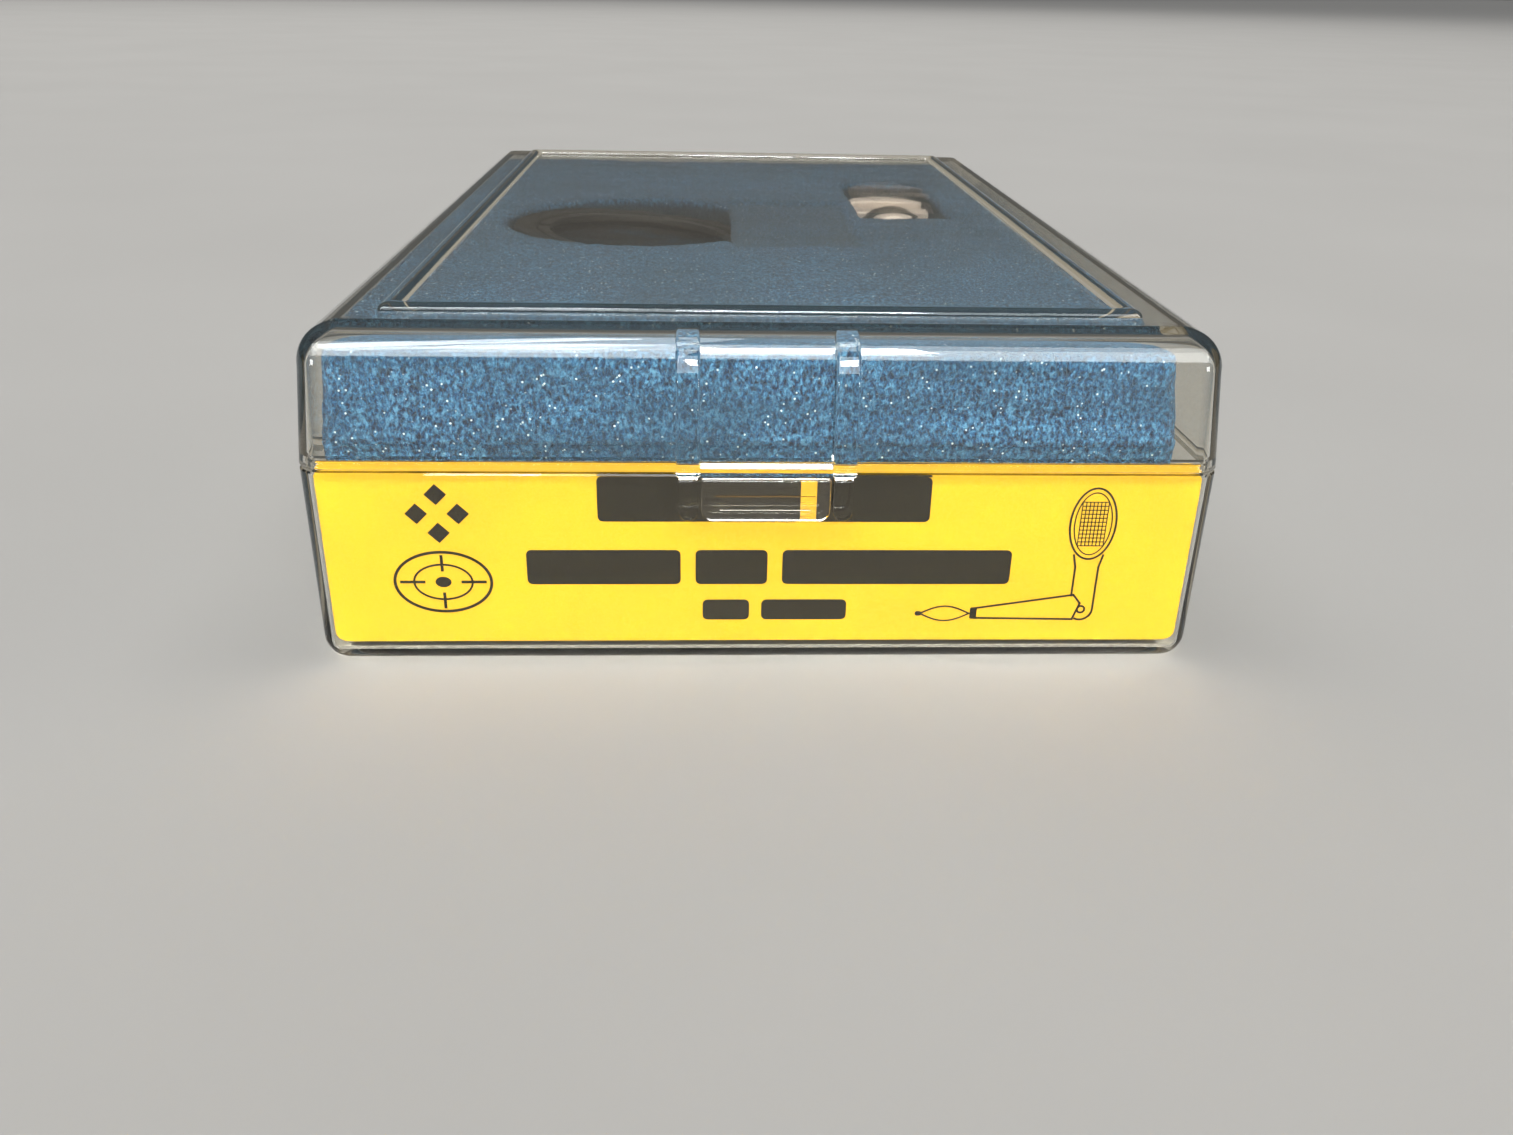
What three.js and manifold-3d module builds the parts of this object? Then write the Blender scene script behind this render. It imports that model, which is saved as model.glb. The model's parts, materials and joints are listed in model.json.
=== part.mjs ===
// A clear hinged storage case. A foam tray of three layers inside it holds a muzzle sighting tool,
// which is stored in two parts: a round grid plate with a stem, and a tapered arbor with a spring tip.
//
// Millimetres, +Z up. +X runs across the case and +Y from the latch at its front to the hinges at its back.
// The origin is the bottom centre of the whole object's box. Depths called "back" are measured from the
// front face of the case's base.
import * as THREE from 'three';
import { mergeVertices } from 'three/addons/utils/BufferGeometryUtils.js';
import Module from 'manifold-3d';

const wasm = await Module();
wasm.setup();

// Case
const WIDTH = 102;
const DEPTH = 152;
const PARTING = 23.75;
const LID_FLAT = 39.3;
const BEAD_TOP = 40.1;
const WALL = 1.5;
const CORNER_R = 3.3;
const INNER_CORNER_R = 0.8;
const BOTTOM_EDGE_R = 2.8;
const LID_EDGE_R = 4.5;
const LID_TOP_CORNER_R = 0.6;
const INNER_EDGE_R = 0.7;
const LID_DRAFT = Math.tan(THREE.MathUtils.degToRad(5));
const GAP = 0.3;
const LID_BOTTOM = PARTING + GAP;

// Rim: a lip on the base stands inside a rebate in the lid
const LIP_INSET = 0.85;
const LIP_HEIGHT = 1;
const LIP_ROOT = 1;
const REBATE_INSET = LIP_INSET - GAP;
const REBATE_HEIGHT = 1.25;

// Raised bead round the lid's flat top
const BEAD_INSET = 8.65;
const BEAD_WIDTH = 2.3;

// Latch: two ribs on the lid, a tongue between them, and two guide ribs with a catch ridge on the base
const RIB_GAP = 14.3;
const RIB_WIDTH = 2.65;
const RIB_REACH = 2;
const RIB_FOOT = 0.6;
const RIB_TOP_BACK = 6.5;
const LEDGE_HEIGHT = 1;
const LEDGE_OVERLAP = 0.5;
const GUIDE_WIDTH = 2.2;
const GUIDE_REACH = 1.7;
const LATCH_LOW = 18.9;
const TONGUE_WIDTH = 14.1;
const TONGUE_FRONT = 1.65;
const TONGUE_BACK = 0.75;
const TONGUE_CORNER_R = 1.2;
const CATCH_REACH = 0.25;
const CATCH_HALF = 5.5;
const CATCH_LOW = LATCH_LOW + 1.8;
const CATCH_HEIGHT = 0.7;
const HOOK_HALF = 5;
const HOOK_LOW = LATCH_LOW + 0.4;
const HOOK_HEIGHT = 0.7;

// Hinges: the pin's axis lies behind the rear wall, level with the parting line
const HINGE_X = 34;
const HINGE_BACK = 2.4;
const HINGE_Z = PARTING + GAP / 2;
const KNUCKLE_R = 2;
const KNUCKLE_WIDTH = 8;
const LUG_WIDTH = 3;
const LUG_GAP = 0.35;
const PIN_R = 0.9;
const PIN_BORE_R = 1.2;
const HEEL_R = 3;
const HEEL_ANGLE = THREE.MathUtils.degToRad(-33);
const GUSSET_DEPTH = 6.5;
const GUSSET_ROOT = 0.8;

// The front ribs and the hinge heels reach past the case, so the case itself sits a little off centre
const REAR_REACH = HINGE_BACK + HEEL_R * Math.cos(HEEL_ANGLE);
const FRONT_Y = RIB_REACH - (RIB_REACH + DEPTH + REAR_REACH) / 2;
const CASE_Y = FRONT_Y + DEPTH / 2;
const HINGE_Y = FRONT_Y + DEPTH + HINGE_BACK;

// Card behind the base's front wall
const CARD_WIDTH = 98;
const CARD_LOW = 2.5;
const CARD_HIGH = 24.4;
const CARD_THICK = 0.4;
const CARD_BACK = WALL + 0.25;
const CARD_CORNER_R = 1.2;

// Foam layers, bottom, middle and top
const FOAM_X = -1.1;
const FOAM_LOW = WALL + GAP;
const BASE_LAYER_TOP = 18.9;
const MIDDLE_LAYER_TOP = 26.7;
const FOAM_TOP = 36.4;
const BASE_LAYER = { halfWidth: 47.6, front: 2.6, back: 149.4 };
const MIDDLE_LAYER = { halfWidth: 47.5, front: 3, back: 149 };
const TOP_LAYER = { halfWidth: 46.4, front: 3.8, back: 147.6 };
const FOAM_CORNER_R = 1.5;
const WELL_MARGIN = 0.7;

// Sight plate: a round head with a stem, lying tilted so that its stem tucks under a foam strap
const HEAD_X = -17;
const HEAD_BACK = 77;
const HEAD_R = 20;
const HEAD_THICK = 5;
const HEAD_MID_Z = 31.9;
const HEAD_TILT = THREE.MathUtils.degToRad(4.3);
const HEAD_BORE_R = 16.5;
const STEM_WIDTH = 15;
const STEM_TIP_WIDTH = 12;
const STEM_THICK = 3.5;
const STEM_END = 34;
const STEM_HOLE_R = 2.2;
const STEM_HOLE_INSET = 6.5;
const SHOULDER_START = HEAD_R + 4;
const SHOULDER_END = HEAD_R + 7;
const STEM_CHAMFER = 2;
const STRAP_X = -2.5;
const STRAP_TOP = 35.6;

// Arbor: its axis dips towards the spring tip by the taper's half angle, so that the taper lies level
const ARBOR_X = 27;
const ARBOR_BACK = 98;
const ARBOR_Z = 28.2;
const ARBOR_R = 6.5;
const ARBOR_TIP_R = 2.6;
const TAPER_LENGTH = 56;
const ARBOR_TILT = Math.atan((ARBOR_R - ARBOR_TIP_R) / TAPER_LENGTH);
const ROD_R = 1.2;
const ROD_BORE_R = 1.5;
const RING_R = 6.9;
const RING_START = 0.35;
const RING_END = 3.05;
const BOSS_START = 3.4;
const BOSS_END = 15.4;
const BOSS_HALF_WIDTH = 7;
const BOSS_HALF_HEIGHT = 5.5;
const BOSS_CORNER_R = 5;
const SPIGOT_R = 3;
const SLOT_START = 6.8;
const SLOT_END = 11.2;
const SLOT_FLOOR = -2;
const SCREW_R = 1.9;
const SCREW_BORE_R = 2.2;
const SCREW_HEAD_R = 4.5;
const SCREW_HEAD_START = 15.8;
const SCREW_HEAD_LENGTH = 4;
const SCREW_FLUTES = 12;
const LEAF_LENGTH = 28;
const LEAF_HALF_WIDTH = 3.8;
const LEAF_ROOT = 1.7;
const LEAF_THICK = 0.6;
const LEAF_HEIGHT = 4.4;
const FERRULE_R = 2.4;
const FERRULE_LENGTH = 4.5;
const FERRULE_SOCKET = 2.7;
const SLOT_FRONT = 82;
const ARBOR_SLOT_FLOOR = 21.3;
const ARBOR_MARGIN = 0.6;

// Facets
const ARC_STEPS = 4;
const ROUND_SIDES = 48;
const ROD_SIDES = 20;
const MERGE = 1e-4;

// ---- Solids -------------------------------------------------------------------------------------------------

function toSolid(geometry) {
  const bare = geometry.clone();
  bare.deleteAttribute('normal');
  bare.deleteAttribute('uv');
  const merged = mergeVertices(bare, MERGE);
  const position = merged.attributes.position;
  const index = merged.index.array;
  const triangles = [];
  let volume = 0;
  const a = new THREE.Vector3();
  const b = new THREE.Vector3();
  const c = new THREE.Vector3();
  for (let i = 0; i < index.length; i += 3) {
    const [p, q, r] = [index[i], index[i + 1], index[i + 2]];
    if (p === q || q === r || r === p) {
      continue;
    }
    triangles.push([p, q, r]);
    a.fromBufferAttribute(position, p);
    b.fromBufferAttribute(position, q);
    c.fromBufferAttribute(position, r);
    volume += a.dot(b.cross(c));
  }
  const outward = volume > 0 ? triangles : triangles.map(([p, q, r]) => [p, r, q]);
  return new wasm.Manifold(new wasm.Mesh({
    numProp: 3,
    vertProperties: new Float32Array(position.array),
    triVerts: new Uint32Array(outward.flat()),
  }));
}

function toGeometry(solid) {
  const mesh = solid.getMesh();
  const geometry = new THREE.BufferGeometry();
  geometry.setAttribute('position', new THREE.BufferAttribute(mesh.vertProperties, 3));
  geometry.setIndex(new THREE.BufferAttribute(mesh.triVerts, 1));
  geometry.computeVertexNormals();
  return geometry;
}

function box(low, high) {
  const size = high.map((value, k) => value - low[k]);
  const geometry = new THREE.BoxGeometry(...size);
  geometry.translate(...low.map((value, k) => value + size[k] / 2));
  return toSolid(geometry);
}

// A rounded rectangle about its own centre
function roundedRectangle(halfX, halfY, radius) {
  const shape = new THREE.Shape();
  const corners = [[1, -1], [1, 1], [-1, 1], [-1, -1]];
  corners.forEach(([x, y], k) => {
    const start = (k - 1) * Math.PI / 2;
    shape.absarc(x * (halfX - radius), y * (halfY - radius), radius, start, start + Math.PI / 2);
  });
  return shape;
}

function prismZ(shape, low, high, steps = ARC_STEPS) {
  const geometry = new THREE.ExtrudeGeometry(shape, {
    depth: high - low,
    bevelEnabled: false,
    curveSegments: steps,
  });
  geometry.translate(0, 0, low);
  return toSolid(geometry);
}

// A prism along X of a shape drawn in Y and Z
function prismX(shape, low, high, steps = ARC_STEPS) {
  const geometry = new THREE.ExtrudeGeometry(shape, {
    depth: high - low,
    bevelEnabled: false,
    curveSegments: steps,
  });
  const [x, y, z] = [new THREE.Vector3(1, 0, 0), new THREE.Vector3(0, 1, 0), new THREE.Vector3(0, 0, 1)];
  geometry.applyMatrix4(new THREE.Matrix4().makeBasis(y, z, x));
  geometry.translate(low, 0, 0);
  return toSolid(geometry);
}

// A prism along Y of a shape drawn in X and Z
function prismY(shape, low, high, steps = ARC_STEPS) {
  const geometry = new THREE.ExtrudeGeometry(shape, {
    depth: high - low,
    bevelEnabled: false,
    curveSegments: steps,
  });
  const [x, y, z] = [new THREE.Vector3(1, 0, 0), new THREE.Vector3(0, -1, 0), new THREE.Vector3(0, 0, 1)];
  geometry.applyMatrix4(new THREE.Matrix4().makeBasis(x, z, y));
  geometry.translate(0, high, 0);
  return toSolid(geometry);
}

function polygon(points) {
  return new THREE.Shape(points.map(([x, y]) => new THREE.Vector2(x, y)));
}

function rodX(radius, low, high, y, z, sides = ROD_SIDES) {
  const geometry = new THREE.CylinderGeometry(radius, radius, high - low, sides);
  geometry.rotateZ(Math.PI / 2);
  geometry.translate((low + high) / 2, y, z);
  return toSolid(geometry);
}

function rodY(radius, low, high, x = 0, z = 0, sides = ROD_SIDES) {
  const geometry = new THREE.CylinderGeometry(radius, radius, high - low, sides);
  geometry.translate(x, (low + high) / 2, z);
  return toSolid(geometry);
}

function rodZ(radius, low, high, x = 0, y = 0, sides = ROUND_SIDES) {
  const geometry = new THREE.CylinderGeometry(radius, radius, high - low, sides);
  geometry.rotateX(Math.PI / 2);
  geometry.translate(x, y, (low + high) / 2);
  return toSolid(geometry);
}

// A turned piece about local Y. Its [radius, y] profile starts and ends on the axis, or is a loop off it.
function turned(profile, sides = ROUND_SIDES) {
  const points = profile.map(([radius, y]) => new THREE.Vector2(radius, y));
  if (points[0].x > 0) {
    points.push(points[0].clone());
  }
  return toSolid(new THREE.LatheGeometry(points, sides));
}

// A block with rounded upright corners and both end edges rounded, about the case's centre line
function roundedBlock(inset, low, high, cornerR, edgeR) {
  const halfX = WIDTH / 2 - inset;
  const halfY = DEPTH / 2 - inset;
  const shape = roundedRectangle(halfX - edgeR, halfY - edgeR, Math.max(cornerR - edgeR, 0.1));
  const geometry = new THREE.ExtrudeGeometry(shape, {
    depth: high - low - 2 * edgeR,
    bevelSize: edgeR,
    bevelThickness: edgeR,
    bevelSegments: ARC_STEPS,
    curveSegments: ARC_STEPS,
  });
  geometry.translate(0, CASE_Y, low + edgeR);
  return toSolid(geometry);
}

// A solid through rings of equal length, each a list of points, with its first and last ring capped
function lofted(rings) {
  const count = rings[0].length;
  const faces = THREE.ShapeUtils.triangulateShape(rings[0].map(([x, y]) => new THREE.Vector2(x, y)), []);
  const last = (rings.length - 1) * count;
  const index = faces.flatMap(([a, b, c]) => [a, c, b, last + a, last + b, last + c]);
  for (let level = 0; level < rings.length - 1; level += 1) {
    for (let k = 0; k < count; k += 1) {
      const [here, after] = [level * count + k, level * count + (k + 1) % count];
      index.push(here, after, after + count, here, after + count, here + count);
    }
  }
  const geometry = new THREE.BufferGeometry();
  geometry.setAttribute('position', new THREE.Float32BufferAttribute(rings.flat(2), 3));
  geometry.setIndex(index);
  return toSolid(geometry);
}

// A straight-sided plate of the case's outline
function outlinePlate(inset, low, high) {
  const shape = roundedRectangle(WIDTH / 2 - inset, DEPTH / 2 - inset, CORNER_R - inset);
  return prismZ(shape, low, high).translate([0, CASE_Y, 0]);
}

// ---- Meshes and groups --------------------------------------------------------------------------------------

const FINISHES = {
  clear: { color: 0xd9d4c6, roughness: 0.08, metalness: 0, transparent: true, opacity: 0.3 },
  steel: { color: 0xb9bcc0, roughness: 0.3, metalness: 1 },
  card: { color: 0xf5cf21, roughness: 0.6, metalness: 0 },
  foam: { color: 0x4a7da3, roughness: 0.95, metalness: 0 },
  black: { color: 0x1c1a18, roughness: 0.45, metalness: 0.1 },
  smoked: { color: 0x2a2622, roughness: 0.1, metalness: 0 },
  diffuser: { color: 0xd8d6cc, roughness: 0.5, metalness: 0 },
  alloy: { color: 0xb8b2a8, roughness: 0.35, metalness: 1 },
  spring: { color: 0x9fa3a8, roughness: 0.25, metalness: 1 },
};

function part(name, finish, solid) {
  const mesh = new THREE.Mesh(toGeometry(solid), new THREE.MeshStandardMaterial(FINISHES[finish]));
  mesh.name = name;
  return mesh;
}

// ---- Case base ----------------------------------------------------------------------------------------------

function baseShell() {
  const above = PARTING + 2 * CORNER_R;
  const outside = roundedBlock(0, 0, above, CORNER_R, BOTTOM_EDGE_R);
  const keep = box([-WIDTH, -DEPTH, 0], [WIDTH, DEPTH, PARTING]);
  const hollow = roundedBlock(WALL, WALL, above, INNER_CORNER_R, INNER_EDGE_R);
  const lip = outlinePlate(LIP_INSET, PARTING - LIP_ROOT, PARTING + LIP_HEIGHT);
  return outside.intersect(keep).add(lip).subtract(hollow);
}

// A guide rib with a round lower end, on the base's front wall
function guideRib(side) {
  const centre = side * (RIB_GAP / 2 + RIB_WIDTH / 2);
  const half = GUIDE_WIDTH / 2;
  const shape = new THREE.Shape();
  shape.moveTo(centre + half, LATCH_LOW + half);
  shape.lineTo(centre + half, PARTING);
  shape.lineTo(centre - half, PARTING);
  shape.lineTo(centre - half, LATCH_LOW + half);
  shape.absarc(centre, LATCH_LOW + half, half, Math.PI, 2 * Math.PI);
  return prismY(shape, FRONT_Y - GUIDE_REACH, FRONT_Y + WALL / 2, 2 * ARC_STEPS);
}

function catchRidge() {
  const [low, high] = [FRONT_Y - CATCH_REACH, FRONT_Y + WALL / 2];
  return box([-CATCH_HALF, low, CATCH_LOW], [CATCH_HALF, high, CATCH_LOW + CATCH_HEIGHT]);
}

// One of the two lugs that carry a hinge pin, with a gusset down to the rear wall
function baseLug(centre) {
  const wallY = HINGE_Y - HINGE_BACK;
  const gusset = polygon([
    [wallY - GUSSET_ROOT, HINGE_Z - 0.5],
    [wallY - GUSSET_ROOT, HINGE_Z - GUSSET_DEPTH],
    [wallY, HINGE_Z - GUSSET_DEPTH],
    [HINGE_Y + 1.5, HINGE_Z - 1.3],
    [HINGE_Y, HINGE_Z - 0.5],
  ]);
  const low = centre - LUG_WIDTH / 2;
  const high = centre + LUG_WIDTH / 2;
  return prismX(gusset, low, high).add(rodX(KNUCKLE_R, low, high, HINGE_Y, HINGE_Z));
}

function pinBore(side) {
  return rodX(PIN_BORE_R, side * HINGE_X - KNUCKLE_WIDTH, side * HINGE_X + KNUCKLE_WIDTH, HINGE_Y, HINGE_Z);
}

function caseBase() {
  let solid = baseShell().add(catchRidge());
  for (const side of [-1, 1]) {
    solid = solid.add(guideRib(side));
    const offset = KNUCKLE_WIDTH / 2 + LUG_GAP + LUG_WIDTH / 2;
    solid = solid.add(baseLug(side * HINGE_X - offset));
    solid = solid.add(baseLug(side * HINGE_X + offset));
    solid = solid.subtract(pinBore(side));
  }
  return part('case_base', 'clear', solid);
}

// ---- Case lid -----------------------------------------------------------------------------------------------

// A block of the lid's outline that leans in by the draft and has a rounded top edge
function lidBlock(inset, low, high, cornerR, edgeR) {
  const steps = 2 * ARC_STEPS;
  const levels = [[inset, low]];
  const spring = high - edgeR;
  const lean = LID_DRAFT * (spring - LID_BOTTOM);
  for (let k = 0; k <= steps; k += 1) {
    const angle = (k / steps) * Math.PI / 2;
    levels.push([inset + lean + edgeR * (1 - Math.cos(angle)), spring + edgeR * Math.sin(angle)]);
  }
  const rings = levels.map(([inwards, z]) => {
    const radius = Math.max(cornerR - (inwards - inset), LID_TOP_CORNER_R);
    const outline = roundedRectangle(WIDTH / 2 - inwards, DEPTH / 2 - inwards, radius);
    const points = outline.getPoints(ARC_STEPS / 2);
    return points.map((point) => [point.x, CASE_Y + point.y, z]);
  });
  return lofted(rings);
}

// The lid's corners close from CORNER_R at the rim to LID_TOP_CORNER_R at the flat top
function lidShell() {
  const outside = lidBlock(0, LID_BOTTOM, LID_FLAT, CORNER_R, LID_EDGE_R);
  const hollow = lidBlock(WALL, LID_BOTTOM, LID_FLAT - WALL, INNER_CORNER_R, LID_EDGE_R - WALL);
  const rebate = outlinePlate(REBATE_INSET, LID_BOTTOM - LIP_ROOT, LID_BOTTOM + REBATE_HEIGHT);
  return outside.subtract(hollow).subtract(rebate);
}

// The raised rectangle on the lid's flat top
function bead() {
  const [halfX, halfY] = [WIDTH / 2 - BEAD_INSET, DEPTH / 2 - BEAD_INSET];
  const [low, high] = [LID_FLAT - 0.5, BEAD_TOP];
  const outside = box([-halfX, CASE_Y - halfY, low], [halfX, CASE_Y + halfY, high]);
  const inside = box(
    [-halfX + BEAD_WIDTH, CASE_Y - halfY + BEAD_WIDTH, low - 1],
    [halfX - BEAD_WIDTH, CASE_Y + halfY - BEAD_WIDTH, high + 1],
  );
  return outside.subtract(inside);
}

// A rib that runs from the rim up the lid's front and over its rounded top edge
function lidRib(side) {
  const shape = new THREE.Shape();
  shape.moveTo(FRONT_Y + RIB_FOOT, LID_BOTTOM + REBATE_HEIGHT + GAP);
  shape.lineTo(FRONT_Y + REBATE_INSET / 2, LID_BOTTOM + REBATE_HEIGHT);
  shape.lineTo(FRONT_Y + REBATE_INSET / 2, LID_BOTTOM);
  shape.lineTo(FRONT_Y - RIB_REACH, LID_BOTTOM);
  shape.lineTo(FRONT_Y - RIB_REACH + 0.5, LID_FLAT - 6);
  shape.quadraticCurveTo(FRONT_Y - 0.9, LID_FLAT + 0.15, FRONT_Y + RIB_TOP_BACK, LID_FLAT - 0.1);
  shape.lineTo(FRONT_Y + RIB_TOP_BACK, LID_FLAT - 0.9);
  shape.quadraticCurveTo(FRONT_Y + 2, LID_FLAT - 1.4, FRONT_Y + 1.6, LID_FLAT - 5);
  const inner = side * RIB_GAP / 2;
  const outer = side * (RIB_GAP / 2 + RIB_WIDTH);
  return prismX(shape, Math.min(inner, outer), Math.max(inner, outer), 2 * ARC_STEPS);
}

// The ledge between the ribs that the tongue hangs from
function tongueLedge() {
  const half = RIB_GAP / 2 + LEDGE_OVERLAP;
  const [low, high] = [FRONT_Y - TONGUE_FRONT, FRONT_Y + REBATE_INSET / 2];
  return box([-half, low, LID_BOTTOM], [half, high, LID_BOTTOM + LEDGE_HEIGHT]);
}

// A knuckle with a web up to the lid's rear wall, and a heel that meets the base when the lid lies back
function lidKnuckle(side) {
  const wallY = HINGE_Y - HINGE_BACK;
  const web = polygon([
    [wallY - LID_DRAFT * GUSSET_DEPTH - GUSSET_ROOT, HINGE_Z + GUSSET_DEPTH],
    [wallY - REBATE_INSET / 2, LID_BOTTOM + REBATE_HEIGHT],
    [wallY - REBATE_INSET / 2, HINGE_Z + 0.5],
    [HINGE_Y, HINGE_Z + 0.5],
    [HINGE_Y + 1.5, HINGE_Z + 1.3],
    [wallY - LID_DRAFT * GUSSET_DEPTH + 0.3, HINGE_Z + GUSSET_DEPTH],
  ]);
  const heel = polygon([
    [HINGE_Y, HINGE_Z],
    [HINGE_Y + 0.6, HINGE_Z - 1.9],
    [HINGE_Y + HEEL_R * Math.cos(HEEL_ANGLE), HINGE_Z + HEEL_R * Math.sin(HEEL_ANGLE)],
    [HINGE_Y + 1.9, HINGE_Z + 0.6],
  ]);
  const low = side * HINGE_X - KNUCKLE_WIDTH / 2;
  const high = low + KNUCKLE_WIDTH;
  const barrel = rodX(KNUCKLE_R, low, high, HINGE_Y, HINGE_Z);
  return prismX(web, low, high).add(prismX(heel, low, high)).add(barrel);
}

function caseLid() {
  let solid = lidShell().add(bead()).add(tongueLedge());
  for (const side of [-1, 1]) {
    solid = solid.add(lidRib(side)).add(lidKnuckle(side)).subtract(pinBore(side));
  }
  return part('case_lid', 'clear', solid);
}

// ---- Latch tongue and hinge pins ----------------------------------------------------------------------------

function latchTongue() {
  const half = TONGUE_WIDTH / 2;
  const radius = TONGUE_CORNER_R;
  const shape = new THREE.Shape();
  shape.moveTo(half, PARTING);
  shape.lineTo(-half, PARTING);
  shape.lineTo(-half, LATCH_LOW + radius);
  shape.absarc(-half + radius, LATCH_LOW + radius, radius, Math.PI, 1.5 * Math.PI);
  shape.absarc(half - radius, LATCH_LOW + radius, radius, 1.5 * Math.PI, 2 * Math.PI);
  const plate = prismY(shape, FRONT_Y - TONGUE_FRONT, FRONT_Y - TONGUE_BACK);
  const hook = box(
    [-HOOK_HALF, FRONT_Y - TONGUE_BACK - 0.1, HOOK_LOW],
    [HOOK_HALF, FRONT_Y - CATCH_REACH - GAP, HOOK_LOW + HOOK_HEIGHT],
  );
  return part('latch_tongue', 'clear', plate.add(hook));
}

function hingePin(name, side) {
  const half = KNUCKLE_WIDTH / 2 + LUG_GAP + LUG_WIDTH;
  const solid = rodX(PIN_R, side * HINGE_X - half, side * HINGE_X + half, HINGE_Y, HINGE_Z, 16);
  return part(name, 'steel', solid);
}

// ---- Card and foam ------------------------------------------------------------------------------------------

function labelCard() {
  const halfHeight = (CARD_HIGH - CARD_LOW) / 2;
  const shape = roundedRectangle(CARD_WIDTH / 2, halfHeight, CARD_CORNER_R);
  const low = FRONT_Y + CARD_BACK;
  const solid = prismY(shape, low, low + CARD_THICK).translate([0, 0, CARD_LOW + halfHeight]);
  return part('label_card', 'card', solid);
}

function foamSheet({ halfWidth, front, back }, low, high) {
  const shape = roundedRectangle(halfWidth, (back - front) / 2, FOAM_CORNER_R);
  return prismZ(shape, low, high).translate([FOAM_X, FRONT_Y + (front + back) / 2, 0]);
}

// The space that the arbor needs: an open slot over its boss, and a tunnel round its taper and tip
function arborSpace(top) {
  const half = BOSS_HALF_WIDTH + ARBOR_MARGIN;
  const slotBack = ARBOR_BACK + SCREW_HEAD_START + SCREW_HEAD_LENGTH + 2 * ARBOR_MARGIN;
  const slot = box(
    [ARBOR_X - half, FRONT_Y + SLOT_FRONT, ARBOR_SLOT_FLOOR],
    [ARBOR_X + half, FRONT_Y + slotBack, top],
  );
  const end = -TAPER_LENGTH - LEAF_LENGTH - FERRULE_LENGTH - 1.5;
  const open = SLOT_FRONT - ARBOR_BACK + 2;
  const tunnel = turned([
    [0, end],
    [LEAF_HALF_WIDTH + 1.7, end],
    [LEAF_HALF_WIDTH + 1.7, -TAPER_LENGTH - 2],
    [ARBOR_R + ARBOR_MARGIN, open],
    [0, open],
  ], 24);
  return slot.add(placedLikeArbor(tunnel));
}

function placedLikeArbor(solid) {
  const tilt = THREE.MathUtils.radToDeg(ARBOR_TILT);
  return solid.rotate([tilt, 0, 0]).translate([ARBOR_X, FRONT_Y + ARBOR_BACK, ARBOR_Z]);
}

// The outline of the plate about the head's centre, grown by a margin
function plateOutline(margin) {
  const half = STEM_WIDTH / 2 + margin;
  const tip = STEM_TIP_WIDTH / 2 + margin;
  const radius = HEAD_R + margin;
  const join = Math.asin(half / radius);
  const shape = new THREE.Shape();
  shape.absarc(0, 0, radius, join, 2 * Math.PI - join);
  shape.lineTo(SHOULDER_START, -half);
  shape.lineTo(SHOULDER_END, -tip);
  shape.lineTo(STEM_END - STEM_CHAMFER + margin, -tip);
  shape.lineTo(STEM_END + margin, -tip + STEM_CHAMFER);
  shape.lineTo(STEM_END + margin, tip - STEM_CHAMFER);
  shape.lineTo(STEM_END - STEM_CHAMFER + margin, tip);
  shape.lineTo(SHOULDER_END, tip);
  shape.lineTo(SHOULDER_START, half);
  return shape;
}

function placedLikePlate(solid) {
  const tilt = THREE.MathUtils.radToDeg(HEAD_TILT);
  return solid.rotate([0, tilt, 0]).translate([HEAD_X, FRONT_Y + HEAD_BACK, HEAD_MID_Z]);
}

// The well for the plate: open over the head's left part, a tunnel under the strap, and the strap's sunk top
function plateSpace() {
  const tunnel = placedLikePlate(
    prismZ(plateOutline(WELL_MARGIN), -HEAD_THICK / 2 - 6, HEAD_THICK / 2 + 0.4, ROUND_SIDES / 2),
  );
  const wellR = HEAD_R + WELL_MARGIN;
  const well = rodZ(wellR, MIDDLE_LAYER_TOP - 1, FOAM_TOP + 1, HEAD_X, FRONT_Y + HEAD_BACK);
  const open = box([-WIDTH, -DEPTH, 0], [STRAP_X, DEPTH, FOAM_TOP + 2]);
  const [front, back] = [FRONT_Y + HEAD_BACK - HEAD_R, FRONT_Y + HEAD_BACK + HEAD_R];
  const sunk = box([STRAP_X - 0.5, front, STRAP_TOP], [HEAD_X + STEM_END + 0.6, back, FOAM_TOP + 1]);
  return tunnel.add(well.intersect(open)).add(sunk);
}

function foamLayers() {
  const base = foamSheet(BASE_LAYER, FOAM_LOW, BASE_LAYER_TOP);
  const middle = foamSheet(MIDDLE_LAYER, BASE_LAYER_TOP + GAP, MIDDLE_LAYER_TOP);
  const top = foamSheet(TOP_LAYER, MIDDLE_LAYER_TOP + GAP, FOAM_TOP);
  return [
    part('foam_base_layer', 'foam', base),
    part('foam_middle_layer', 'foam', middle.subtract(arborSpace(MIDDLE_LAYER_TOP + 1))),
    part('foam_top_layer', 'foam', top.subtract(arborSpace(FOAM_TOP + 1)).subtract(plateSpace())),
  ];
}

// ---- Sight plate, in a frame at the head's centre with the stem along +X -----------------------------------

function sightPlate() {
  const head = rodZ(HEAD_R, -HEAD_THICK / 2, HEAD_THICK / 2);
  const stemLow = -HEAD_THICK / 2;
  const stem = prismZ(plateOutline(0), stemLow, stemLow + STEM_THICK, ROUND_SIDES / 2);
  const bore = rodZ(HEAD_BORE_R, -HEAD_THICK, HEAD_THICK);
  const holeX = STEM_END - STEM_HOLE_INSET;
  const hole = rodZ(STEM_HOLE_R, -HEAD_THICK, HEAD_THICK, holeX, 0, ROD_SIDES);
  return part('sight_plate', 'black', head.add(stem).subtract(bore).subtract(hole));
}

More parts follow.
